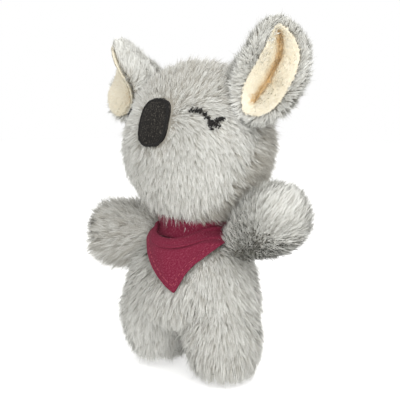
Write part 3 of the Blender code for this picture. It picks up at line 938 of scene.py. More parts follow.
def torso_surface(heading: Points, height: Points, grow: Points) -> Points:
    """The torso's points at headings from the front and at heights, grown outwards."""
    table = np.array(TORSO_SHARES)
    low, high = TORSO_RANGE
    share = np.clip((height - low) / (high - low), 0.02, 0.94)
    width, depth, forward = between(share, table[:, 0], table[:, 1:]).T
    x, y = on_oval(heading, width * TORSO_HALF[0] + grow, depth * TORSO_HALF[1] + grow)
    return np.column_stack([x, y - forward * TORSO_FORWARD, height])


def to_polyline(points: Points, line: Points) -> Points:
    """Each point's distance to a line of straight runs."""
    nearest = np.full(len(points), np.inf)
    for start, end in zip(line, line[1:]):
        run = end - start
        part = np.clip(((points - start) @ run) / (run @ run), 0, 1)
        nearest = np.minimum(nearest, np.linalg.norm(points - start - part[:, None] * run, axis=1))
    return nearest


@dataclass
class Nose:
    """The oval felt patch and the raised satin stitching round it."""

    aside: float = 0.0010
    above: float = 0.0112
    half_width: float = 0.0088
    half_height: float = 0.0114
    squareness: float = 2.9
    turn: float = math.radians(-1)
    stand: float = 0.0006
    dome: float = 0.0005
    rim_drop: float = 0.0008
    back: float = 0.0022
    border: float = 0.0017

    def outline(self, angle: Points, grow: float = 0) -> tuple[Points, Points]:
        """Places across and up on the oval at angles round it, grown outwards."""
        across, up = np.cos(angle), np.sin(angle)
        size = (np.abs(across) ** self.squareness + np.abs(up) ** self.squareness) ** (-1 / self.squareness)
        x, z = (self.half_width + grow) * across * size, (self.half_height + grow) * up * size
        c, s = math.cos(self.turn), math.sin(self.turn)
        return self.aside + x * c + z * s, HEAD_MIDDLE + self.above - x * s + z * c

    def distance(self, points: Points) -> Points:
        """How far points lie outside the oval, seen from the front, in metres."""
        c, s = math.cos(self.turn), math.sin(self.turn)
        x, z = points[:, 0] - self.aside, points[:, 2] - HEAD_MIDDLE - self.above
        x, z = x * c - z * s, x * s + z * c
        power = self.squareness
        size = (np.abs(x / self.half_width) ** power + np.abs(z / self.half_height) ** power) ** (1 / power)
        away = (size - 1) * np.hypot(x, z) / np.maximum(size, 1e-6)
        return np.where(points[:, 1] < 0, away, 1.0)

    def build(self, felt: Material, thread: Material) -> None:
        """Makes the patch and its stitching."""

        def place(ball: Points) -> Points:
            """The patch's points for the unit ball."""
            angle = np.arctan2(ball[:, 2], ball[:, 0])
            reach = np.clip(np.hypot(ball[:, 0], ball[:, 2]), 0, 1)
            rim_x, rim_z = self.outline(angle)
            middle_x, middle_z = self.aside, HEAD_MIDDLE + self.above
            x, z = middle_x + (rim_x - middle_x) * reach, middle_z + (rim_z - middle_z) * reach
            lift = np.where(ball[:, 1] < 0, self.stand + self.dome * (1 - reach**4), -self.back)
            lift = np.where(np.abs(ball[:, 1]) < 1e-3, self.stand - self.rim_drop, lift)
            return np.column_stack([x, face_depth(x, z, 0) - lift, z])

        add_stuffed(placed_ball("nose_felt", 56, 28, place), felt, "head", "charcoal_felt", 0.3, "nose_patch")
        x, z = self.outline(np.linspace(0, 2 * math.pi, 240))
        line = np.column_stack([x, face_depth(x, z, 0) - self.stand, z])
        stitched = SatinStitching("nose_satin", line, self.border, seed=11, uneven=0.20).build(thread)
        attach(stitched, "head")
        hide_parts("nose_stitching")
        LOG.info("nose: felt patch and satin border")


def thread_shape(segments: int) -> tuple[Points, list[list[int]]]:
    """One straight stitch along X, one unit long and thick: its points and its faces' corners."""
    stitch = bmesh.new()
    lying = Matrix.Rotation(math.pi / 2, 4, "Y")
    bmesh.ops.create_cone(
        stitch, cap_ends=True, segments=segments, radius1=0.5, radius2=0.5, depth=1, matrix=lying
    )
    long_edges = [edge for edge in stitch.edges if abs(edge.verts[0].co.x - edge.verts[1].co.x) > 0.5]
    bmesh.ops.subdivide_edges(stitch, edges=long_edges, cuts=3, use_grid_fill=True)
    shape = np.array([vert.co for vert in stitch.verts])
    faces = [[vert.index for vert in face.verts] for face in stitch.faces]
    stitch.free()
    return shape, faces


def sewn(
    name: str, stitches: list[Points], shape: Points, faces: list[list[int]], material: Material
) -> bpy.types.Object:
    """Joins placed copies of one stitch to a piece.

    Args:
        name: the piece's name.
        stitches: the points of each copy in its place.
        shape: the same points on the straight stitch.
        faces: the corners of its faces.
        material: the thread's finish.

    Returns:
        The piece, whose UV map starts elsewhere on each stitch, so that no two look the same.
    """
    shift, turns = 3.7, 4
    joined = bmesh.new()
    thread_map = joined.loops.layers.uv.new("thread")
    for index, points in enumerate(stitches):
        verts = [joined.verts.new(point) for point in points]
        for corners in faces:
            face = joined.faces.new([verts[corner] for corner in corners])
            for loop, corner in zip(face.loops, corners):
                loop[thread_map].uv = (shape[corner, 0] + index * shift, shape[corner, 2] * turns)
    bmesh.ops.recalc_face_normals(joined, faces=joined.faces)
    return add_piece(made_mesh(joined, name), material)


@dataclass
class SatinStitching:
    """A raised line of satin stitches: short shiny threads side by side across a path on the head."""

    name: str
    path: Points
    width: float
    seed: int
    uneven: float
    pitch: float = 0.00036
    height: float = 0.0006
    sunk: float = 0.55
    end_thickness: float = 0.55
    roundness: float = 2.6
    thickness_range: tuple[float, float] = (1.15, 1.45)

    def build(self, material: Material) -> bpy.types.Object:
        """Makes one thread and repeats it along the path.

        Args:
            material: the thread's finish.

        Returns:
            The piece.
        """
        rng = np.random.default_rng(self.seed)
        shape, faces = thread_shape(segments=6)
        arch = 1 - (2 * np.abs(shape[:, 0])) ** self.roundness
        thin = self.end_thickness + (1 - self.end_thickness) * arch
        raised = self.height * arch[:, None] - self.height * self.sunk
        gone = gone_along(self.path)
        count = max(2, int(gone[-1] / self.pitch))
        stops = (np.arange(count) + 0.5) * gone[-1] / count
        middle = between(stops, gone, self.path)
        ahead = unit(np.gradient(middle, axis=0))
        outward = unit((middle - np.array([0, 0, HEAD_MIDDLE])) / np.array(HEAD_HALF) ** 2)
        across = unit(np.cross(outward, ahead))
        stitches = []
        for index in range(count):
            long = self.width * (1 + self.uneven * rng.normal())
            thick = self.pitch * rng.uniform(*self.thickness_range)
            shift = self.width * self.uneven * 0.5 * rng.normal()
            stitches.append(
                middle[index]
                + across[index] * (shape[:, :1] * long + shift)
                + ahead[index] * (shape[:, 1:2] * thick)
                + outward[index] * (shape[:, 2:] * thick * thin[:, None] + raised)
            )
        return sewn(self.name, stitches, shape, faces, material)


@dataclass
class Eye:
    """A closed eye: the lid's curve, which ends in a downward lash, and the upper lash beside it."""

    side: Side
    aside: float = 0.0
    stand: float = -0.0009
    lid: Rows = (
        (35.1, 17.6), (36.6, 17.2), (40.8, 17.1), (43.9, 16.7), (46.9, 15.6), (49.4, 14.1), (51.1, 12.2),
        (51.8, 10.0), (51.6, 7.6),
    )
    upper_lash: Rows = ((49.9, 12.6), (53.1, 11.9), (56.0, 12.3), (59.0, 13.0), (62.3, 13.6))
    lower_lash: Rows = ((50.6, 11.4), (53.0, 10.5), (55.8, 10.0), (58.8, 9.7))
    widths: tuple[float, ...] = (0.0017, 0.0016, 0.0015)

    def stroke(self, rows: Rows) -> Points:
        """A stroke's line on the head, from headings in degrees and heights over its middle in mm."""
        line = along_rows(rows, np.linspace(0, 1, 40))
        heading, above = np.radians(line[:, 0] + self.aside), line[:, 1] * MM
        radius = np.sqrt(1 - (above / HEAD_HALF[2]) ** 2) ** HEAD_FULLNESS
        x, y = on_oval(heading, *(radius * half + self.stand for half in HEAD_HALF[:2]))
        return np.column_stack([self.side.value * x, y, HEAD_MIDDLE + above])

    def distance(self, points: Points) -> Points:
        """How far points lie from the eye's strokes."""
        strokes = (self.stroke(rows) for rows in (self.lid, self.upper_lash, self.lower_lash))
        return np.min([to_polyline(points, stroke) for stroke in strokes], axis=0)

    def build(self, thread: Material) -> None:
        """Makes the three strokes."""
        name = f"{self.side.word}_eye"
        for number, label in enumerate(("lid", "upper_lash", "lower_lash")):
            line, seed = self.stroke(getattr(self, label)), 21 + self.side.value + 5 * number
            satin = SatinStitching(f"{name}_{label}", line, self.widths[number], seed, uneven=0.40)
            piece = satin.build(thread)
            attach(piece, "head")
            if label == "lid":
                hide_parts(f"{self.side.word}_eye_stitching")
        LOG.info("%s: satin stitches", name)


@dataclass
class Head:
    """The stuffed head with its face panel of short pile and its back panel of longer pile."""

    face_inset: float = 0.0022
    back_inset: float = 0.0036
    seam: Rows = (
        (-40, -18.5), (-29, -17.2), (-22, -14.4), (-12, -11.2), (-2, -7.1), (7, -2.0), (15, -4.3), (22, -8.5),
        (30, -4.0), (42, 0.0),
    )
    forehead: tuple[float, float] = (0.016, 0.036)
    dark_crown: tuple[float, float] = (0.010, 0.034)
    long_crown: tuple[float, float] = (0.026, 0.038)
    chin: tuple[float, float] = (0.022, 0.036)
    low_face: float = 0.02
    seam_edge: float = 0.014
    bare_round_nose: tuple[float, float] = (0.0003, 0.0007)
    bare_round_eyes: tuple[float, float] = (0.0007, 0.0012)
    short_beside: tuple[float, float] = (0.0008, 0.0038)
    nose: Nose | None = None
    eyes: tuple[Eye, ...] = ()

    def place(self, ball: Points) -> Points:
        """The head's points for the unit ball, drawn in more behind the seam."""
        behind = smooth_step(ball[:, 1], -0.15, 0.35)[:, None]
        front, back = (head_surface(ball, inset) for inset in (self.face_inset, self.back_inset))
        return front * (1 - behind) + back * behind

    def above(self, points: Points, levels: tuple[float, float]) -> Points:
        """0 below the first level over the head's middle, rising to 1 at the second."""
        return smooth_step(points[:, 2], *(HEAD_MIDDLE + level for level in levels))

    def behind_seam(self, points: Points) -> Points:
        """How far points lie behind the seam, which runs from behind the ears forward to the jaw."""
        table = np.array(self.seam) * MM
        return points[:, 1] - np.interp(points[:, 2] - HEAD_MIDDLE, table[:, 0], table[:, 1])

    def face_nap(self, points: Points, normals: Points) -> Points:
        """Away from the nose, and bent downwards below the forehead."""
        away = unit(np.column_stack([points[:, 0] * 0.5, points[:, 2] - HEAD_MIDDLE - self.nose.above]))
        upper = self.above(points, self.forehead)
        return np.column_stack([away[:, 0], 0.9 * upper, away[:, 1] - 0.45 * (1 - upper)])

    def back_nap(self, points: Points, normals: Points) -> Points:
        """Backwards and down behind the seam."""
        high = self.above(points, (0.0, 0.03))
        return np.column_stack([np.sign(points[:, 0]) * 0.5, 0.75 - 0.2 * high, -0.75 + 0.5 * high])

    def face_share(self, points: Points, normals: Points) -> Points:
        """Where the face panel grows: in front of the seam and clear of the nose and eyes."""
        shares = smooth_step(self.nose.distance(points), *self.bare_round_nose)
        for eye in self.eyes:
            shares = shares * smooth_step(eye.distance(points), *self.bare_round_eyes)
        return (self.behind_seam(points) < 0) * shares

    def back_share(self, points: Points, normals: Points) -> Points:
        """Where the back panel grows: behind the seam."""
        return (self.behind_seam(points) >= 0).astype(float)

    def face_length(self, points: Points, normals: Points) -> Points:
        """Short beside the nose and eyes, longer towards the seam and under the chin."""
        near = np.minimum(self.nose.distance(points), 0.004)
        for eye in self.eyes:
            near = np.minimum(near, eye.distance(points) * 0.8)
        short = 0.40 + 0.60 * smooth_step(near, *self.short_beside)
        chin = smooth_step(-points[:, 2], *(-(HEAD_MIDDLE - level) for level in self.chin))
        crown = self.above(points, self.long_crown)
        edge = smooth_step(self.behind_seam(points), -self.seam_edge, 0.0)
        return short * (1 + 0.42 * chin + 0.15 * crown + 0.30 * edge)

    def lightness(self, points: Points, normals: Points) -> Points:
        """Lighter low on the face, darker near the seam and behind it, and darkest behind the jaw, where
        painted shade stands for the shadow under the jaw.
        """
        low = smooth_step(-points[:, 2], -HEAD_MIDDLE - self.low_face, -HEAD_MIDDLE + self.low_face)
        back = smooth_step(self.behind_seam(points), -0.004, 0.004)
        crown = self.above(points, self.dark_crown)
        # the 0.26 * low term behind the seam is painted shade under the jaw
        return 1.02 + 0.08 * low - 0.55 * crown * (1 - back) - back * (0.74 + 0.26 * low)

    def build(self, ground: Material, pile: Material) -> None:
        """Makes the stuffed form and its two panels of pile."""
        mesh = placed_ball("head_cover", 64, 40, self.place, relax=2)
        form = add_stuffed(mesh, ground, "head", "silver_plush", 0.8, "head_skin", "head_filling")
        short = Pile(
            density=6.4, length=0.0050, width=0.00028, lean=math.radians(62), droop=math.radians(10),
            scatter=0.15,
        )
        long = Pile(density=5.8, length=0.0072, scatter=0.24, lean=math.radians(48))
        for fur in (
            FurPanel(
                "face_pile", "head", short, self.face_nap, seed=1, grows=self.face_share,
                longer=self.face_length, lighter=self.lightness, tint=0.56,
            ),
            FurPanel(
                "head_back_pile", "head", long, self.back_nap, seed=2, grows=self.back_share,
                lighter=self.lightness,
            ),
        ):
            fur.build(form, pile)


@dataclass
class Torso:
    """The stuffed body, pear shaped, whose pile lies down."""

    inset: float = 0.0034
    crotch: tuple[float, float] = (0.005, 0.010)
    leg_edge: tuple[float, float] = (0.0385, 0.0290)
    right_leg_higher: float = 0.0045
    under_neck: tuple[float, float] = (0.068, 0.076)
    under_cloth: tuple[float, float] = (0.050, 0.055)
    # heights over which painted shade darkens the pile under the jaw
    jaw_shade: tuple[float, float] = (0.062, 0.073)
    cloth_tip: float = 0.049

    def place(self, ball: Points) -> Points:
        """The torso's points for the unit ball."""
        table = np.array(TORSO_SHARES)[::-1]
        low, high = TORSO_RANGE
        halves = (*TORSO_HALF, TORSO_FORWARD)
        rows = np.column_stack([low + table[:, 0] * (high - low), table[:, 1:] * halves])
        return Swell(tuple(map(tuple, rows))).place(ball, self.inset)

    def nap(self, points: Points, normals: Points) -> Points:
        """Down, and a little outwards."""
        return np.column_stack([points[:, 0] * 6 + 0.12, points[:, 1] * 4, np.full(len(points), -1.0)])

    def share(self, points: Points, normals: Points) -> Points:
        """Where the pile grows: it gives way to the legs' own pile low on both sides of the crotch."""
        over_leg = smooth_step(np.abs(points[:, 0]), *self.crotch)
        higher = self.right_leg_higher * (points[:, 0] < 0)
        return 1 - over_leg * smooth_step(higher - points[:, 2], *(-edge for edge in self.leg_edge))

    def length(self, points: Points, normals: Points) -> Points:
        """Short under the neck and the bandana, where the cloth presses it."""
        heading = np.degrees(np.arctan2(points[:, 0], -points[:, 1]))
        neck = smooth_step(points[:, 2], *self.under_neck)
        covered = np.abs(heading - 10) < 10 + (points[:, 2] - self.cloth_tip) * 2400
        cloth = smooth_step(points[:, 2], *self.under_cloth) * covered
        return 1 - 0.55 * np.maximum(neck, cloth)

    def lightness(self, points: Points, normals: Points) -> Points:
        """Darker under the jaw: painted shade for the shadow there."""
        return 1 - 0.24 * smooth_step(points[:, 2], *self.jaw_shade)

    def build(self, ground: Material, pile: Material) -> None:
        """Makes the stuffed form and its pile."""
        mesh = placed_ball("torso_cover", 56, 36, self.place, relax=3)
        form = add_stuffed(mesh, ground, "torso", "silver_plush", 0.7, "torso_skin", "torso_filling")
        fur = FurPanel(
            "torso_pile", "torso", Pile(density=5.5, length=0.0070, lean=math.radians(56)), self.nap, seed=3,
            grows=self.share, longer=self.length, lighter=self.lightness, tint=0.55,
        )
        fur.build(form, pile)


@dataclass
class Neck:
    """The narrow stuffed neck between head and torso, hidden by the bandana and the chin's pile."""

    radius: float = 0.0155

    def place(self, ball: Points) -> Points:
        """The neck's points for the unit ball."""
        return ball * self.radius + np.array([0, 0, NECK_HEIGHT])

    def nap(self, points: Points, normals: Points) -> Points:
        """Straight down."""
        return np.tile([0.0, 0.0, -1.0], (len(points), 1))

    def build(self, ground: Material, pile: Material) -> None:
        """Makes the neck's form and its pile."""
        mesh = placed_ball("neck_cover", 32, 20, self.place)
        neck = add_stuffed(mesh, ground, "neck", "silver_plush", 0.6, "neck_filling", soft=False)
        fur = FurPanel("neck_pile", "neck", Pile(density=4.0, length=0.0050), self.nap, seed=4, tint=0.42)
        fur.build(neck, pile)


@dataclass
class Limb:
    """A stuffed sock with its pile: an arm or a leg."""

    name: str
    side: Side
    root: tuple[float, float, float]
    turn: Matrix
    rows: Rows
    pile: Pile
    seed: int
    tint: float
    origin: tuple[float, float, float] | None = None
    bare: float = -0.0105
    hangs: float = 0.0
    shorter: float = 0.0
    sole: float = 2.0
    short_start: tuple[float, float] = (-0.002, 0.012)
    long_end: tuple[float, float] = (0.015, 0.030)

    def local(self, points: Points) -> Points:
        """Points in the limb's own axes, with z from the root to the tip."""
        return (points - np.array(self.root)) @ np.array(self.turn)

    def place(self, ball: Points) -> Points:
        """The limb's points for the unit ball."""
        return Swell(self.rows).place(ball) @ np.array(self.turn).T + np.array(self.root)

    def nap(self, points: Points, normals: Points) -> Points:
        """Away from the origin, if there is one, or towards the tip and over the end's middle outwards."""
        local, facing = self.local(points), normals @ np.array(self.turn)
        end = smooth_step(facing[:, 2], 0.35, 0.80)[:, None]
        along = np.column_stack([local[:, :2] * 12, np.full(len(points), 1.0)]) @ np.array(self.turn).T
        over = np.column_stack([local[:, :2], np.zeros(len(points))]) @ np.array(self.turn).T
        if self.origin:
            return unit(points - np.array(self.origin)) + 0.25 * unit(along) * (1 - end)
        return unit(along) * (1 - end) + unit(over) * end

    def share(self, points: Points, normals: Points) -> Points:
        """Where the pile grows: not on the root's end, which is inside the torso, nor on a sole."""
        facing = (normals @ np.array(self.turn))[:, 2]
        return ((self.local(points)[:, 2] > self.bare) & (facing < self.sole)).astype(float)

    def length(self, points: Points, normals: Points) -> Points:
        """Longer round the end, where the tufts stand out, and underneath, where they hang."""
        place = self.local(points)[:, 2]
        start = self.shorter * (1 - smooth_step(place, *self.short_start))
        under = self.hangs * smooth_step(-normals[:, 2], 0.0, 0.7)
        return 1 + 0.15 * smooth_step(place, *self.long_end) - start + under

    def build(self, ground: Material, pile: Material) -> None:
        """Makes the stuffed form and its pile."""
        body = f"{self.side.word}_{self.name}"
        mesh = placed_ball(f"{body}_cover", 40, 28, self.place, relax=2)
        form = add_stuffed(mesh, ground, body, "silver_plush", 0.7, f"{body}_skin", f"{body}_filling")
        fur = FurPanel(
            f"{body}_pile", body, self.pile, self.nap, self.seed, grows=self.share, longer=self.length,
            tint=self.tint,
        )
        fur.build(form, pile)


@dataclass
class Ear:
    """A folded ear: two soft wings on each side of a crease, lined with cream velour and rimmed with pile."""

    side: Side
    seat: tuple[float, float, float] = (0.042, -0.002, 0.1466)
    turn: float = math.radians(22)
    tall: float = 1.0
    cover_thickness: float = 0.0040
    lining_thickness: float = 0.0012
    heel: float = 0.012
    heel_height: tuple[float, float] = (0.036, 0.011)
    heel_width: tuple[float, float] = (0.021, 0.009)
    slit_width: float = 0.07
    outline: Rows = (
        (8.2, 35.6, 12.6), (14.0, 36.2, 8.4), (20.0, 30.8, 4.4), (24.0, 22.1, 4.0), (24.1, 13.1, 6.5),
        (22.3, 5.2, 10.7), (17.3, -3.6, 12.0), (8.2, -9.2, 11.2), (0.1, -10.2, 9.8), (-6.5, -6.1, 8.0),
        (-8.9, 1.6, 7.6), (-7.1, 11.3, 9.4), (-3.3, 18.4, 12.4), (0.4, 24.6, 14.4), (3.6, 30.6, 14.8),
    )
    lining: Rows = (
        (13.0, 34.5, 9.4), (18.4, 29.3, 5.4), (21.4, 22.1, 5.0), (21.2, 14.5, 7.0), (18.0, 4.5, 10.8),
        (11.9, -4.3, 12.0), (5.8, -7.8, 11.4), (1.0, -8.4, 10.2), (-4.2, -6.5, 9.0), (-5.6, -0.5, 8.0),
        (-3.3, 8.0, 9.2), (1.6, 15.4, 10.4), (6.2, 22.7, 11.8), (9.8, 30.8, 10.6),
    )
    crease: Rows = (
        (-0.6, -0.9, 3.0), (2.0, 3.0, 1.4), (5.6, 8.4, 0.2), (9.0, 15.6, 0.0), (11.0, 19.4, 0.0),
        (11.9, 25.0, 1.0), (12.3, 30.5, 3.6),
    )

    @property
    def sewn_at(self) -> Points:
        """The seat on the ear's own side."""
        return np.array(self.seat) * np.array([self.side.value, 1, 1])

    def axes(self) -> tuple[Points, Points, Points]:
        """The directions of the ear's width, of its height and out of its opening."""
        c, s, side = math.cos(self.turn), math.sin(self.turn), self.side.value
        return np.array([side * c, s, 0.0]), np.array([0.0, 0.0, 1.0]), np.array([side * s, -c, 0.0])

    def closed(self, rows: Rows, angle: Points) -> Points:
        """The points of a closed outline at angles that go round it once, on a smooth curve."""
        table = np.array(rows)[::-1] * MM
        start = int(np.argmin(np.abs(np.arctan2(table[:, 1] - 0.012, table[:, 0] - 0.007))))
        table = np.roll(table, -start, axis=0)
        count = len(table)
        place = (angle / (2 * math.pi) % 1) * count
        index, part = np.floor(place).astype(int), (place % 1)[:, None]
        p0, p1, p2, p3 = (table[(index + offset) % count] for offset in (-1, 0, 1, 2))
        bent = (2 * p0 - 5 * p1 + 4 * p2 - p3) * part**2 + (3 * p1 - p0 - 3 * p2 + p3) * part**3
        return 0.5 * (2 * p1 + (p2 - p0) * part + bent)

    def surface(self, rows: Rows, angle: Points, reach: Points, lift: float, slit: float) -> Points:
        """Points of the folded ear: reach 0 lies on the crease and reach 1 on the outline.

        Args:
            rows: the outline, as width, height and distance forward in millimetres.
            angle: the angle round the ear.
            reach: the share of the way from the crease to the outline.
            lift: how far the surface stands in front of the fold.
            slit: how deep the crease is pressed in.

        Returns:
            The points in the frame.
        """
        line = np.array(self.crease) * MM
        rise = (1 + np.sin(angle)) / 2
        middle = between(rise, np.linspace(0, 1, len(line)), line)
        rim = self.closed(rows, angle)
        flat = middle[:, :2] + (rim[:, :2] - middle[:, :2]) * reach[:, None]
        wall = 1 - (1 - reach) ** 1.5
        ahead = middle[:, 2] + (rim[:, 2] - middle[:, 2]) * wall + lift - slit * ridge(reach, self.slit_width)
        wide, high, out = self.axes()
        return self.sewn_at + flat[:, :1] * wide + flat[:, 1:] * high * self.tall + ahead[:, None] * out

    def bowl(
        self, name: str, segments: int, rings: int, rows: Rows, lift: float, slit: float,
        thickness: float, heel: float = 0,
    ) -> bpy.types.Mesh:
        """A thick folded sheet, with the place from the crease to its rim in its own UV map, which the
        velour's painted crease shade reads.

        Args:
            name: the mesh's name.
            segments: its points round the rim.
            rings: its rows from the front's crease over the rim to the back's crease.
            rows: its outline.
            lift: how far it stands in front of the fold.
            slit: how deep the crease is pressed in.
            thickness: how thick the sheet is.
            heel: how much thicker its back gets towards the head.

        Returns:
            The mesh, smooth shaded.
        """
        wide, _, out = self.axes()

        def place(ball: Points) -> Points:
            """The sheet's points for the unit ball."""
            angle = np.arctan2(ball[:, 1], ball[:, 0])
            reach = np.clip(np.hypot(ball[:, 0], ball[:, 1]), 0, 1)
            step, least = 0.02, np.maximum(reach, 0.3)
            front = self.surface(rows, angle, reach, lift, 0.0)
            outer = self.surface(rows, angle, np.minimum(reach + step, 1), lift, 0.0)
            inner = self.surface(rows, angle, np.maximum(reach - step, 0), lift, 0.0)
            turned, back = (self.surface(rows, angle + by, least, lift, 0.0) for by in (step, -step))
            normal = turned_to(unit(np.cross(outer - inner, turned - back)), out)
            wing = smooth_step(reach, 0.0, 0.45)[:, None]
            normal = unit(normal * wing + out * (1 - wing))
            swell = np.sqrt(np.clip(1 - reach**5, 0, 1))
            flat = self.local(front)
            low = smooth_step(-flat[:, 1], *(-edge for edge in self.heel_height))
            low = low * smooth_step(-flat[:, 0], *(-edge for edge in self.heel_width))
            backwards = (wide * 0.5 + out * 0.85) * (heel * low * swell)[:, None]
            behind = front - normal * (thickness * swell)[:, None] - backwards
            return np.where(ball[:, 2:] < -1e-4, behind, self.surface(rows, angle, reach, lift, slit))

        mesh = placed_ball(name, segments, rings, place)
        ball = bmesh.new()
        bmesh.ops.create_uvsphere(ball, u_segments=segments, v_segments=rings, radius=1)
        reach = np.array(
            [math.hypot(vert.co.x, vert.co.y) if vert.co.z > -1e-4 else 1.0 for vert in ball.verts]
        )
        height = np.array([vert.co.y for vert in ball.verts])
        ball.free()
        corners = np.array([loop.vertex_index for loop in mesh.loops])
        depth = np.column_stack([reach[corners], (height[corners] + 1) / 2]).astype(np.float32)
        mesh.uv_layers.new(name="depth").data.foreach_set("uv", depth.ravel())
        return mesh

    def build(self, ground: Material, pile: Material, velour: Material, fuzz: Material) -> None:
        """Makes the cover and the lining with their pile."""
        body = f"{self.side.word}_ear"
        mesh = self.bowl(f"{body}_cover", 56, 28, self.outline, -0.0012, 0.0, self.cover_thickness, self.heel)
        cover = add_stuffed(mesh, ground, body, "silver_plush", 0.5, f"{body}_skin")
        mesh = self.bowl(f"{body}_velour", 96, 56, self.lining, 0.0003, 0.0010, self.lining_thickness)
        lining = add_stuffed(mesh, velour, body, "cream_plush", 0.4, f"{body}_lining")
        self.grow(cover, body, pile)
        self.grow_fuzz(lining, body, fuzz)
        LOG.info("%s: cover, lining and pile", body)

    def local(self, points: Points) -> Points:
        """Points as widths and heights on the ear seen from its front."""
        wide, high, _ = self.axes()
        from_seat = points - self.sewn_at
        return np.column_stack([from_seat @ wide, from_seat @ high / self.tall])

    def inside_lining(self, flat: Points) -> Points:
        """Whether places seen from the ear's front lie inside the lining's outline."""
        outline = self.closed(self.lining, np.linspace(0, 2 * math.pi, 181))[:, :2]
        middle = np.array([7.5, 12.0]) * MM
        angle = np.arctan2(flat[:, 1] - middle[1], flat[:, 0] - middle[0])
        ring = np.arctan2(outline[:, 1] - middle[1], outline[:, 0] - middle[0])
        order = np.argsort(ring)
        radius = np.interp(angle, ring[order], np.hypot(*(outline - middle).T)[order], period=2 * math.pi)
        return np.hypot(*(flat - middle).T) < radius - 0.0002

    def away_from(self, points: Points, middle: tuple[float, float], forward: float) -> Points:
        """The directions away from a place seen from the ear's front, in mm, and a little forward."""
        wide, high, out = self.axes()
        away = unit(self.local(points) - np.array(middle) * MM)
        return away[:, :1] * wide + away[:, 1:] * high + out * forward

    def grow(self, cover: bpy.types.Object, body: str, pile: Material) -> None:
        """Grows the pile on the ear's back and on its rim, clear of the lining."""
        out = self.axes()[2]

        def share(points: Points, normals: Points) -> Points:
            """Everywhere but inside the lining's outline on the front."""
            front = (normals @ out) > 0.12
            return np.where(front & self.inside_lining(self.local(points)), 0.0, 1.0)

        def length(points: Points, normals: Points) -> Points:
            """Longer behind the ear's inner low side, and shorter at its top."""
            flat = self.local(points)
            inner = smooth_step(-flat[:, 0], -0.002, 0.005) * smooth_step(-flat[:, 1], -0.022, -0.012)
            top = smooth_step(flat[:, 1], 0.026, 0.034)
            return 1 + 0.6 * inner * ((normals @ out) < 0.3) - 0.25 * top

        fur = FurPanel(
            f"{body}_pile", body,
            Pile(density=8.0, length=0.0052, lean=math.radians(52), scatter=0.18, softness=0.5),
            lambda points, normals: self.away_from(points, (6.0, 3.0), 0.1), 60 + self.side.value,
            grows=share, longer=length, tint=0.66,
        )
        fur.build(cover, pile)

    def grow_fuzz(self, lining: bpy.types.Object, body: str, fuzz: Material) -> None:
        """Grows the lining's short fuzz on its front, with painted shade darkening it towards the crease."""
        out = self.axes()[2]
        crease = np.array(self.crease)[:, :2] * MM

        def share(points: Points, normals: Points) -> Points:
            """Only on the front."""
            return ((normals @ out) > -0.2).astype(float)

        def lightness(points: Points, normals: Points) -> Points:
            """Painted shade: dark in the crease and lighter beside it."""
            return smooth_step(to_polyline(self.local(points), crease), 0.0003, 0.0034)

        fluff = Pile(
            density=10.0, length=0.0013, width=0.00026, lean=math.radians(70), droop=0.0, clump=0.0008,
            pull=0.2, scatter=0.30, flyaway=0.0, softness=0.9,
        )
        fur = FurPanel(
            f"{body}_fuzz", body, fluff, lambda points, normals: self.away_from(points, (7.0, 8.0), 0.3),
            70 + self.side.value, grows=share, lighter=lightness, tint=0.78, tint_spread=0.10,
            slot="cream_plush",
        )
        fur.build(lining, fuzz)


@dataclass
class RunningStitch:
    """A row of small stitches along a seam, each a short thread that dips into the cloth at both ends."""

    name: str
    path: Points
    outward: Points
    length: float = 0.0017
    gap: float = 0.0010
    radius: float = 0.00022
    skew: float = 0.00008
    length_range: tuple[float, float] = (0.85, 1.1)
    seed: int = 91

    def build(self, material: Material) -> bpy.types.Object:
        """Makes one stitch and repeats it along the path.

        Args:
            material: the thread's finish.

        Returns:
            The piece.
        """
        rng = np.random.default_rng(self.seed)
        shape, faces = thread_shape(segments=5)
        steps = gone_along(self.path)
        count = int(steps[-1] / (self.length + self.gap))
        stops = (np.arange(count) + 0.5) * steps[-1] / count
        middle = between(stops, steps, self.path)
        ahead = unit(between(stops, steps, np.gradient(self.path, axis=0)))
        outward = unit(between(stops, steps, self.outward))
        across = unit(np.cross(outward, ahead))
        arch = 1 - (2 * np.abs(shape[:, :1])) ** 2
        stitches = []
        for index in range(count):
            long = self.length * rng.uniform(*self.length_range)
            aside = across[index] * rng.normal() * self.skew
            stitches.append(
                middle[index]
                + aside
                + ahead[index] * shape[:, :1] * long
                + across[index] * shape[:, 1:2] * self.radius * 2
                + outward[index] * (shape[:, 2:] * self.radius * 2 + (arch - 0.5) * self.radius * 1.2)
            )
        return sewn(self.name, stitches, shape, faces, material)


def cut(size: tuple[float, float]) -> Cloth:
    """The places on a plain piece of cloth, from its width and its length in metres."""
    return lambda across, along: np.column_stack([across * size[0], along * size[1]])


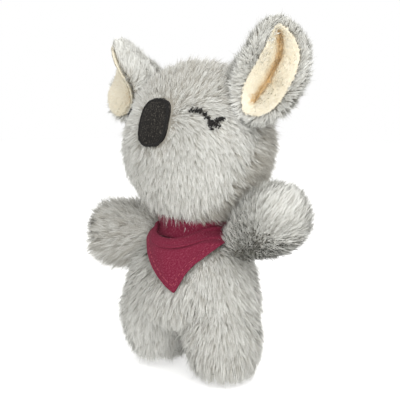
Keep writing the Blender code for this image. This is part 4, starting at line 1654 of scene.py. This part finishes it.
@dataclass
class Bandana:
    """The bandana: the band round the neck, the triangle with its cowl fold, its hem and the knot behind."""

    thickness: float = 0.0007
    top: Rows = (
        (-66, 79.0, 4.4), (-52, 79.9, 5.8), (-38, 78.6, 7.2), (-22, 76.2, 7.8), (-8, 74.6, 7.6),
        (5, 74.0, 6.9), (16, 74.1, 6.0), (33, 75.6, 4.5), (48, 77.8, 3.5), (60, 79.3, 3.3), (76, 79.8, 4.0),
        (88, 79.2, 4.2),
    )
    left: Rows = (
        (-66, 79.0, 4.4), (-48, 76.6, 4.4), (-32, 73.4, 4.4), (-23, 69.6, 4.2), (-16, 66.0, 3.8),
        (-7, 61.2, 3.2), (5, 56.0, 2.3), (16, 51.8, 1.7), (25.5, 49.2, 1.2),
    )
    right: Rows = (
        (88, 79.2, 4.2), (81, 75.7, 3.7), (68, 73.0, 3.0), (56.5, 69.3, 2.4), (43, 63.8, 2.0),
        (35, 58.8, 1.7), (30.6, 54.0, 1.4), (25.5, 49.2, 1.2),
    )
    roll_share: float = 0.17
    roll_radius: float = 0.0011
    inner_drop: float = 0.0030
    flat_width: float = 0.074
    top_allowance: float = 0.009
    hem: float = 0.0040
    hem_height: float = 0.30
    folds: Rows = (
        (0.95, 0.10, 0.16, 0.045, 0.15, 0.55),
        (0.75, 0.26, 0.22, 0.05, 0.35, 0.75),
        (-0.65, 0.18, 0.19, 0.04, 0.25, 0.65),
    )
    band_cut: tuple[float, float] = (0.125, 0.0105)
    band_low: tuple[float, float] = (0.0722, 0.0020)
    band_high: tuple[float, float] = (0.0805, 0.0055)
    band_half: tuple[float, float] = (0.0202, 0.0172)
    band_flare: float = 0.0016
    band_behind: float = 0.0030
    end_cut: tuple[float, float] = (0.012, 0.014)
    knot_half: tuple[float, float, float] = (0.0056, 0.0036, 0.0046)
    knot_middle: tuple[float, float, float] = (0.0, 0.0224, 0.0770)

    def triangle_places(self, across: Points, along: Points) -> Points:
        """Headings, heights and distances off the body, in millimetres, over the triangle below its fold.

        Each row of the folds gives a fold's height, its place at the right edge, how much lower it lies at
        the left edge, its width, and between which shares across it begins.
        """
        top = along_rows(self.top, across)
        left, right = along_rows(self.left, along), along_rows(self.right, along)
        s, t = across[:, None], along[:, None]
        first, last, tip = (np.array(row, float) for row in (self.top[0], self.top[-1], self.left[-1]))
        places = (1 - t) * top + t * tip + (1 - s) * left + s * right
        places = places - ((1 - s) * (1 - t) * first + s * (1 - t) * last + t * tip)
        folds = np.zeros(len(across))
        for height, start, slope, width, begin, full in self.folds:
            line = ridge(along - start - slope * (1 - across), width)
            folds += height * line * smooth_step(across, begin, full)
        bulge = 0.8 * np.sin(np.pi * across) * (1 - along) ** 0.7 * smooth_step(along, 0.0, 0.25)
        lifted = (folds + bulge) * (1 - smooth_step(along, 0.75, 1.0))
        places[:, 2] += lifted * smooth_step(1 - across, 0.0, 0.06)
        edge = np.minimum(across, 1 - across) * (1 - along) * self.flat_width
        places[:, 2] += self.hem_height * (1 - smooth_step(edge, self.hem * 0.92, self.hem * 1.06))
        return places

    def triangle_point(self, across: Points, along: Points) -> Points:
        """The triangle's points: the cowl's roll at its top and then the hanging cloth."""
        below = np.clip((along - self.roll_share) / (1 - self.roll_share), 0, 1)
        back = np.clip(1 - along / self.roll_share, 0, 1)
        places = self.triangle_places(across, below)
        turn = np.clip(back / 0.45, 0, 1) * math.pi
        sink = np.clip((back - 0.45) / 0.55, 0, 1)
        grow = places[:, 2] * MM - self.roll_radius * (1 - np.cos(turn))
        height = places[:, 1] * MM + self.roll_radius * np.sin(turn) - sink * self.inner_drop
        return torso_surface(np.radians(places[:, 0]), height, grow)

    def triangle_flat(self, across: Points, along: Points) -> Points:
        """Places on the flat cloth, turned so that the yarns run along the two short sides."""
        below = np.clip((along - self.roll_share) / (1 - self.roll_share), 0, 1)
        back = np.clip(1 - along / self.roll_share, 0, 1) * self.top_allowance
        x, y = (across - 0.5) * (1 - below) * self.flat_width, (1 - below) * self.flat_width / 2 + back
        return np.column_stack([x + y, y - x]) / math.sqrt(2)

    def band_point(self, across: Points, along: Points) -> Points:
        """The band's points: round the neck, with soft lengthwise folds."""
        heading = (across - 0.5) * 2 * math.pi
        front = (1 + np.cos(heading)) / 2
        low, high = (level + rise * front for level, rise in (self.band_low, self.band_high))
        folds = 0.0006 * np.sin(along * 9.5 + 1.2 * np.sin(heading * 2 + 0.6))
        folds += 0.0003 * np.sin(heading * 7 + along * 4)
        grow = folds + self.band_flare * (1 - along) ** 2
        wide, deep = self.band_half[0] + grow, self.band_half[1] + grow + self.band_behind * (1 - front) ** 2
        x, y = on_oval(heading, wide, deep)
        return np.column_stack([x - 0.0020, y - 0.0008, low + (high - low) * along])

    def tail_point(self, side: Side) -> Cloth:
        """The points of one loose end of the knot.

        Args:
            side: the end's side.

        Returns:
            The function of the shares across and along.
        """

        def place(across: Points, along: Points) -> Points:
            """The end's points, which widen downwards."""
            wide = 0.0030 + 0.0050 * along**0.8
            x = side.value * (0.0014 + along * 0.0048) + (across - 0.5) * 2 * wide * 0.62
            y = 0.0232 + 0.0009 * np.cos(across * 9 + side.value) * (0.4 + along) + 0.0022 * along
            aside = np.abs(across - 0.5)
            z = 0.0752 - along * 0.0125 * (1 - 0.25 * aside) - 0.0020 * aside * along
            return np.column_stack([x, y, z])

        return place

    def finish_sheet(
        self, piece: bpy.types.Object, body: str,
    ) -> None:
        """Args:
            piece: the sheet.
            body: the body that it rides on.
        """
        solid = piece.modifiers.new("thickness", "SOLIDIFY")
        solid.thickness = self.thickness
        solid.offset = 0
        soften(piece)
        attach(piece, body)

    def build(self, cotton: Material, thread: Material) -> None:
        """Makes the band, the triangle, the stitching of its hem and the knot with its ends."""
        mesh = placed_grid("bandana_wrap", 120, 12, self.band_point, cut(self.band_cut), ring=True)
        band = add_piece(mesh, cotton)
        self.finish_sheet(band, "torso")
        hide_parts("bandana_band")
        flap = add_piece(placed_grid("bandana_flap", 72, 56, self.triangle_point, self.triangle_flat), cotton)
        self.finish_sheet(flap, "bandana_triangle")
        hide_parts("bandana_triangle")
        self.stitch_hem(thread)
        self.tie_knot(cotton)
        LOG.info("bandana: band, flap, hem and knot")

    def stitch_hem(self, thread: Material) -> None:
        """Sews the hem along the two lower sides."""
        t = np.linspace(0.02, 0.90, 90)
        inset = np.clip(self.hem / self.flat_width / (1 - t), 0, 0.5)
        for label, s in (("left", inset), ("right", 1 - inset)):
            places = self.triangle_places(s, t)
            heading, height = np.radians(places[:, 0]), places[:, 1] * MM
            outer = places[:, 2] * MM + self.thickness / 2
            line, above = (torso_surface(heading, height, grow) for grow in (outer, outer + MM))
            piece = RunningStitch(f"bandana_hem_{label}", line, above - line).build(thread)
            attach(piece, "bandana_triangle")

    def knot_point(self, ball: Points) -> Points:
        """The knot's points for the unit ball, with two furrows and soft waves."""
        furrow = ridge(ball[:, 0] * 0.8 + ball[:, 2] * 0.6, 0.16) * 0.16
        furrow += ridge(ball[:, 0] * 0.7 - ball[:, 2] * 0.7 + 0.45, 0.12) * 0.10
        waves = 0.03 * np.sin(ball[:, 0] * 14 + ball[:, 2] * 5)
        return ball * (1 - furrow + waves)[:, None] * np.array(self.knot_half) + np.array(self.knot_middle)

    def tie_knot(self, cotton: Material) -> None:
        """Makes the knot behind the neck and its two loose ends."""
        mesh = placed_ball("bandana_tie", 40, 28, self.knot_point)
        spots = np.array([mesh.vertices[loop.vertex_index].co for loop in mesh.loops])
        flat = np.column_stack([spots[:, 0] + spots[:, 1], spots[:, 2]]).astype(np.float32)
        mesh.uv_layers.new(name="cloth").data.foreach_set("uv", flat.ravel())
        add_stuffed(mesh, cotton, "torso", "maroon_cotton", 0.8, "bandana_knot")
        for side in Side:
            grid = placed_grid(f"bandana_end_{side.word}", 20, 24, self.tail_point(side), cut(self.end_cut))
            self.finish_sheet(add_piece(grid, cotton), "torso")


@dataclass(frozen=True)
class Lamp:
    """A soft round lamp that faces the toy: direction in degrees, distance, size and power."""

    name: str
    azimuth: float
    elevation: float
    distance: float
    size: float
    power: float


@dataclass
class Studio:
    """The plain pale floor, the soft lights and the camera at the photograph's angle."""

    target: tuple[float, float, float] = (0.0, 0.0, 0.100)
    distance: float = 0.40
    azimuth: float = math.radians(42)
    elevation: float = math.radians(5.5)
    lens: float = 66.6
    shift: tuple[float, float] = (0.00625, -0.03425)
    lamps: tuple[Lamp, ...] = (
        Lamp("key", 62, 46, 0.75, 0.70, 3.2),
        Lamp("fill", 40, 3, 0.80, 0.80, 3.4),
        Lamp("back", 200, 55, 0.80, 0.50, 1.4),
    )
    soft_light: float = 0.80
    floor_glow: float = 0.55

    def direction(self, azimuth: float, elevation: float) -> Vector:
        """The direction from the toy towards an azimuth, 0 at the front and growing to the toy's left."""
        flat = math.cos(elevation)
        return Vector((math.sin(azimuth) * flat, -math.cos(azimuth) * flat, math.sin(elevation)))

    def build(self) -> None:
        """Makes the camera, the lamps, the world and the floor."""
        scene = bpy.context.scene
        scene.view_settings.view_transform = "Standard"
        camera = bpy.data.objects.new("camera", bpy.data.cameras.new("camera"))
        camera.data.lens = self.lens
        camera.data.sensor_width = 36
        camera.data.shift_x, camera.data.shift_y = self.shift
        camera.data.clip_start = 0.01
        towards = self.direction(self.azimuth, self.elevation)
        camera.location = Vector(self.target) + towards * self.distance
        camera.rotation_euler = towards.to_track_quat("Z", "Y").to_euler()
        scene.collection.objects.link(camera)
        scene.camera = camera
        for lamp in self.lamps:
            light = bpy.data.objects.new(lamp.name, bpy.data.lights.new(lamp.name, "AREA"))
            light.data.energy = lamp.power
            light.data.shape = "DISK"
            light.data.size = lamp.size
            aim = self.direction(math.radians(lamp.azimuth), math.radians(lamp.elevation))
            light.location = Vector(self.target) + aim * lamp.distance
            light.rotation_euler = aim.to_track_quat("Z", "Y").to_euler()
            scene.collection.objects.link(light)
        self.world(scene)
        self.floor(scene)

    def world(self, scene: bpy.types.Scene) -> None:
        """A white surround for the camera and for reflections, and a soft even light for the toy."""
        world = bpy.data.worlds.new("studio")
        world.use_nodes = True
        scene.world = world
        maker = NodeMaker(world.node_tree)
        seen = maker.add("LightPath")
        plain = maker.maths("MAXIMUM", seen.outputs["Is Camera Ray"], seen.outputs["Is Glossy Ray"])
        plain = maker.maths("MAXIMUM", plain, seen.outputs["Is Transmission Ray"])
        soft = maker.add("Background", {0: (1.0, 0.998, 0.99, 1), 1: self.soft_light})
        white = maker.add("Background", {0: (1, 1, 1, 1), 1: 1.0})
        both = maker.add("MixShader", {0: plain, 1: soft.outputs[0], 2: white.outputs[0]})
        maker.add("OutputWorld", {0: both.outputs[0]})

    def floor(self, scene: bpy.types.Scene) -> None:
        """A white floor whose colour is lifted for the camera, so that it keeps the toy's shadow."""
        form = bmesh.new()
        bmesh.ops.create_grid(form, x_segments=1, y_segments=1, size=3.0)
        material, maker = new_material("studio_floor")
        seen = maker.add("LightPath").outputs["Is Camera Ray"]
        paper = maker.add("BsdfDiffuse", {0: (0.90, 0.90, 0.89, 1)})
        glow = maker.add("Emission", {0: (1, 1, 1, 1), 1: maker.maths("MULTIPLY", seen, self.floor_glow)})
        both = maker.add("AddShader", {0: paper.outputs[0], 1: glow.outputs[0]})
        maker.add("OutputMaterial", {0: both.outputs[0]})
        add_piece(made_mesh(form, "floor"), material)


# What differs between the limbs and between the ears

ARM_ROWS = (
    (0.0380, 0, 0, 0), (0.0365, 0.0060, 0.0060, 0), (0.0330, 0.0108, 0.0108, 0), (0.0285, 0.0134, 0.0134, 0),
    (0.0225, 0.0143, 0.0143, 0), (0.0140, 0.0132, 0.0132, 0), (0.0060, 0.0109, 0.0109, 0),
    (-0.0020, 0.0092, 0.0092, 0), (-0.0085, 0.0066, 0.0066, 0), (-0.0115, 0, 0, 0),
)
BLUNT_ARM_ROWS = (
    (0.0372, 0, 0, 0), (0.0365, 0.0084, 0.0084, 0), (0.0338, 0.0122, 0.0122, 0), (0.0290, 0.0139, 0.0139, 0),
    (0.0225, 0.0141, 0.0141, 0), (0.0140, 0.0138, 0.0138, 0), (0.0060, 0.0126, 0.0126, 0),
    (-0.0020, 0.0118, 0.0118, 0), (-0.0085, 0.0090, 0.0090, 0), (-0.0115, 0, 0, 0),
)
LEG_ROWS = (
    (0.0318, 0, 0, 0), (0.0308, 0.0066, 0.0066, 0), (0.0275, 0.0118, 0.0118, 0), (0.0220, 0.0152, 0.0150, 0),
    (0.0130, 0.0170, 0.0175, -0.0012), (0.0040, 0.0168, 0.0182, -0.0022), (-0.0050, 0.0145, 0.0160, -0.0022),
    (-0.0110, 0.0090, 0.0100, -0.0010), (-0.0130, 0, 0, 0),
)
WIDE_LINING = (
    (12.6, 35.5, 9.6), (19.4, 30.4, 4.8), (23.8, 22.1, 4.3), (24.0, 13.5, 6.8), (22.2, 4.8, 10.9),
    (16.5, -4.2, 12.2), (8.0, -8.9, 11.4), (1.0, -9.2, 10.2), (-5.8, -6.5, 8.8), (-8.5, 0.5, 8.4),
    (-7.4, 8.6, 10.0), (-4.2, 15.8, 12.8), (-0.8, 22.9, 15.0), (4.6, 31.5, 14.8),
)
LIMB_PILE = Pile(density=7.0, length=0.0066, lean=math.radians(50))
CURLY_PILE = Pile(
    density=7.5, length=0.0062, lean=math.radians(40), scatter=0.34, spread=0.34, clump=0.0011, pull=0.6,
    flyaway=0.16,
)


def arm_turn(side: Side, rise: float, ahead: float) -> Matrix:
    """The turn of an arm that points sideways, raised and brought forward by degrees."""
    reach = Matrix.Rotation(-side.value * math.radians(ahead), 3, "Z")
    return reach @ Matrix.Rotation(side.value * math.radians(90 - rise), 3, "Y")


def limbs(side: Side) -> tuple[Limb, Limb]:
    """The arm and the leg of one side, which differ as in the photo."""
    down = Matrix.Rotation(math.pi, 3, "X")
    if side is Side.LEFT:
        arm = Limb(
            "arm", side, (0.0330, -0.001, 0.075), arm_turn(side, 31, 5), ARM_ROWS, LIMB_PILE, seed=31,
            tint=0.62, origin=(0.0340, -0.0066, 0.0581), shorter=0.40,
        )
        hip, seed, tint, bare = (0.0245, -0.0065, 0.034), 41, 0.48, -0.0070
    else:
        arm = Limb(
            "arm", side, (-0.0295, -0.001, 0.0730), arm_turn(side, -5, 8), BLUNT_ARM_ROWS, CURLY_PILE,
            seed=29, tint=0.30, hangs=0.40,
        )
        hip, seed, tint, bare = (-0.0225, -0.0065, 0.036), 39, 0.68, -0.0100
    return arm, Limb("leg", side, hip, down, LEG_ROWS, LIMB_PILE, seed, tint, bare=bare, sole=0.6)


def main() -> None:
    """Builds the toy's pieces in order and reports each one."""
    mottle, nap = mottle_group(), nap_group()
    pile, fuzz, thread = SILVER_PILE.build(), CREAM_PILE.build(), BLACK_THREAD.build()
    cloths = (PLUSH_GROUND, CREAM_VELOUR, CHARCOAL_FELT)
    ground, velour, felt = (finish.build(mottle, nap) for finish in cloths)
    Studio().build()
    nose = Nose()
    eyes = (Eye(Side.LEFT), Eye(Side.RIGHT, aside=5.0))
    Head(nose=nose, eyes=eyes).build(ground, pile)
    nose.build(felt, thread)
    for eye in eyes:
        eye.build(thread)
    Torso().build(ground, pile)
    Neck().build(ground, pile)
    for ear in (Ear(Side.LEFT), Ear(Side.RIGHT, tall=0.90, lining=WIDE_LINING)):
        for limb in limbs(ear.side):
            limb.build(ground, pile)
        ear.build(ground, pile, velour, fuzz)
    Bandana().build(MAROON_COTTON.build(), HEM_THREAD.build())


if __name__ == "__main__":
    main()
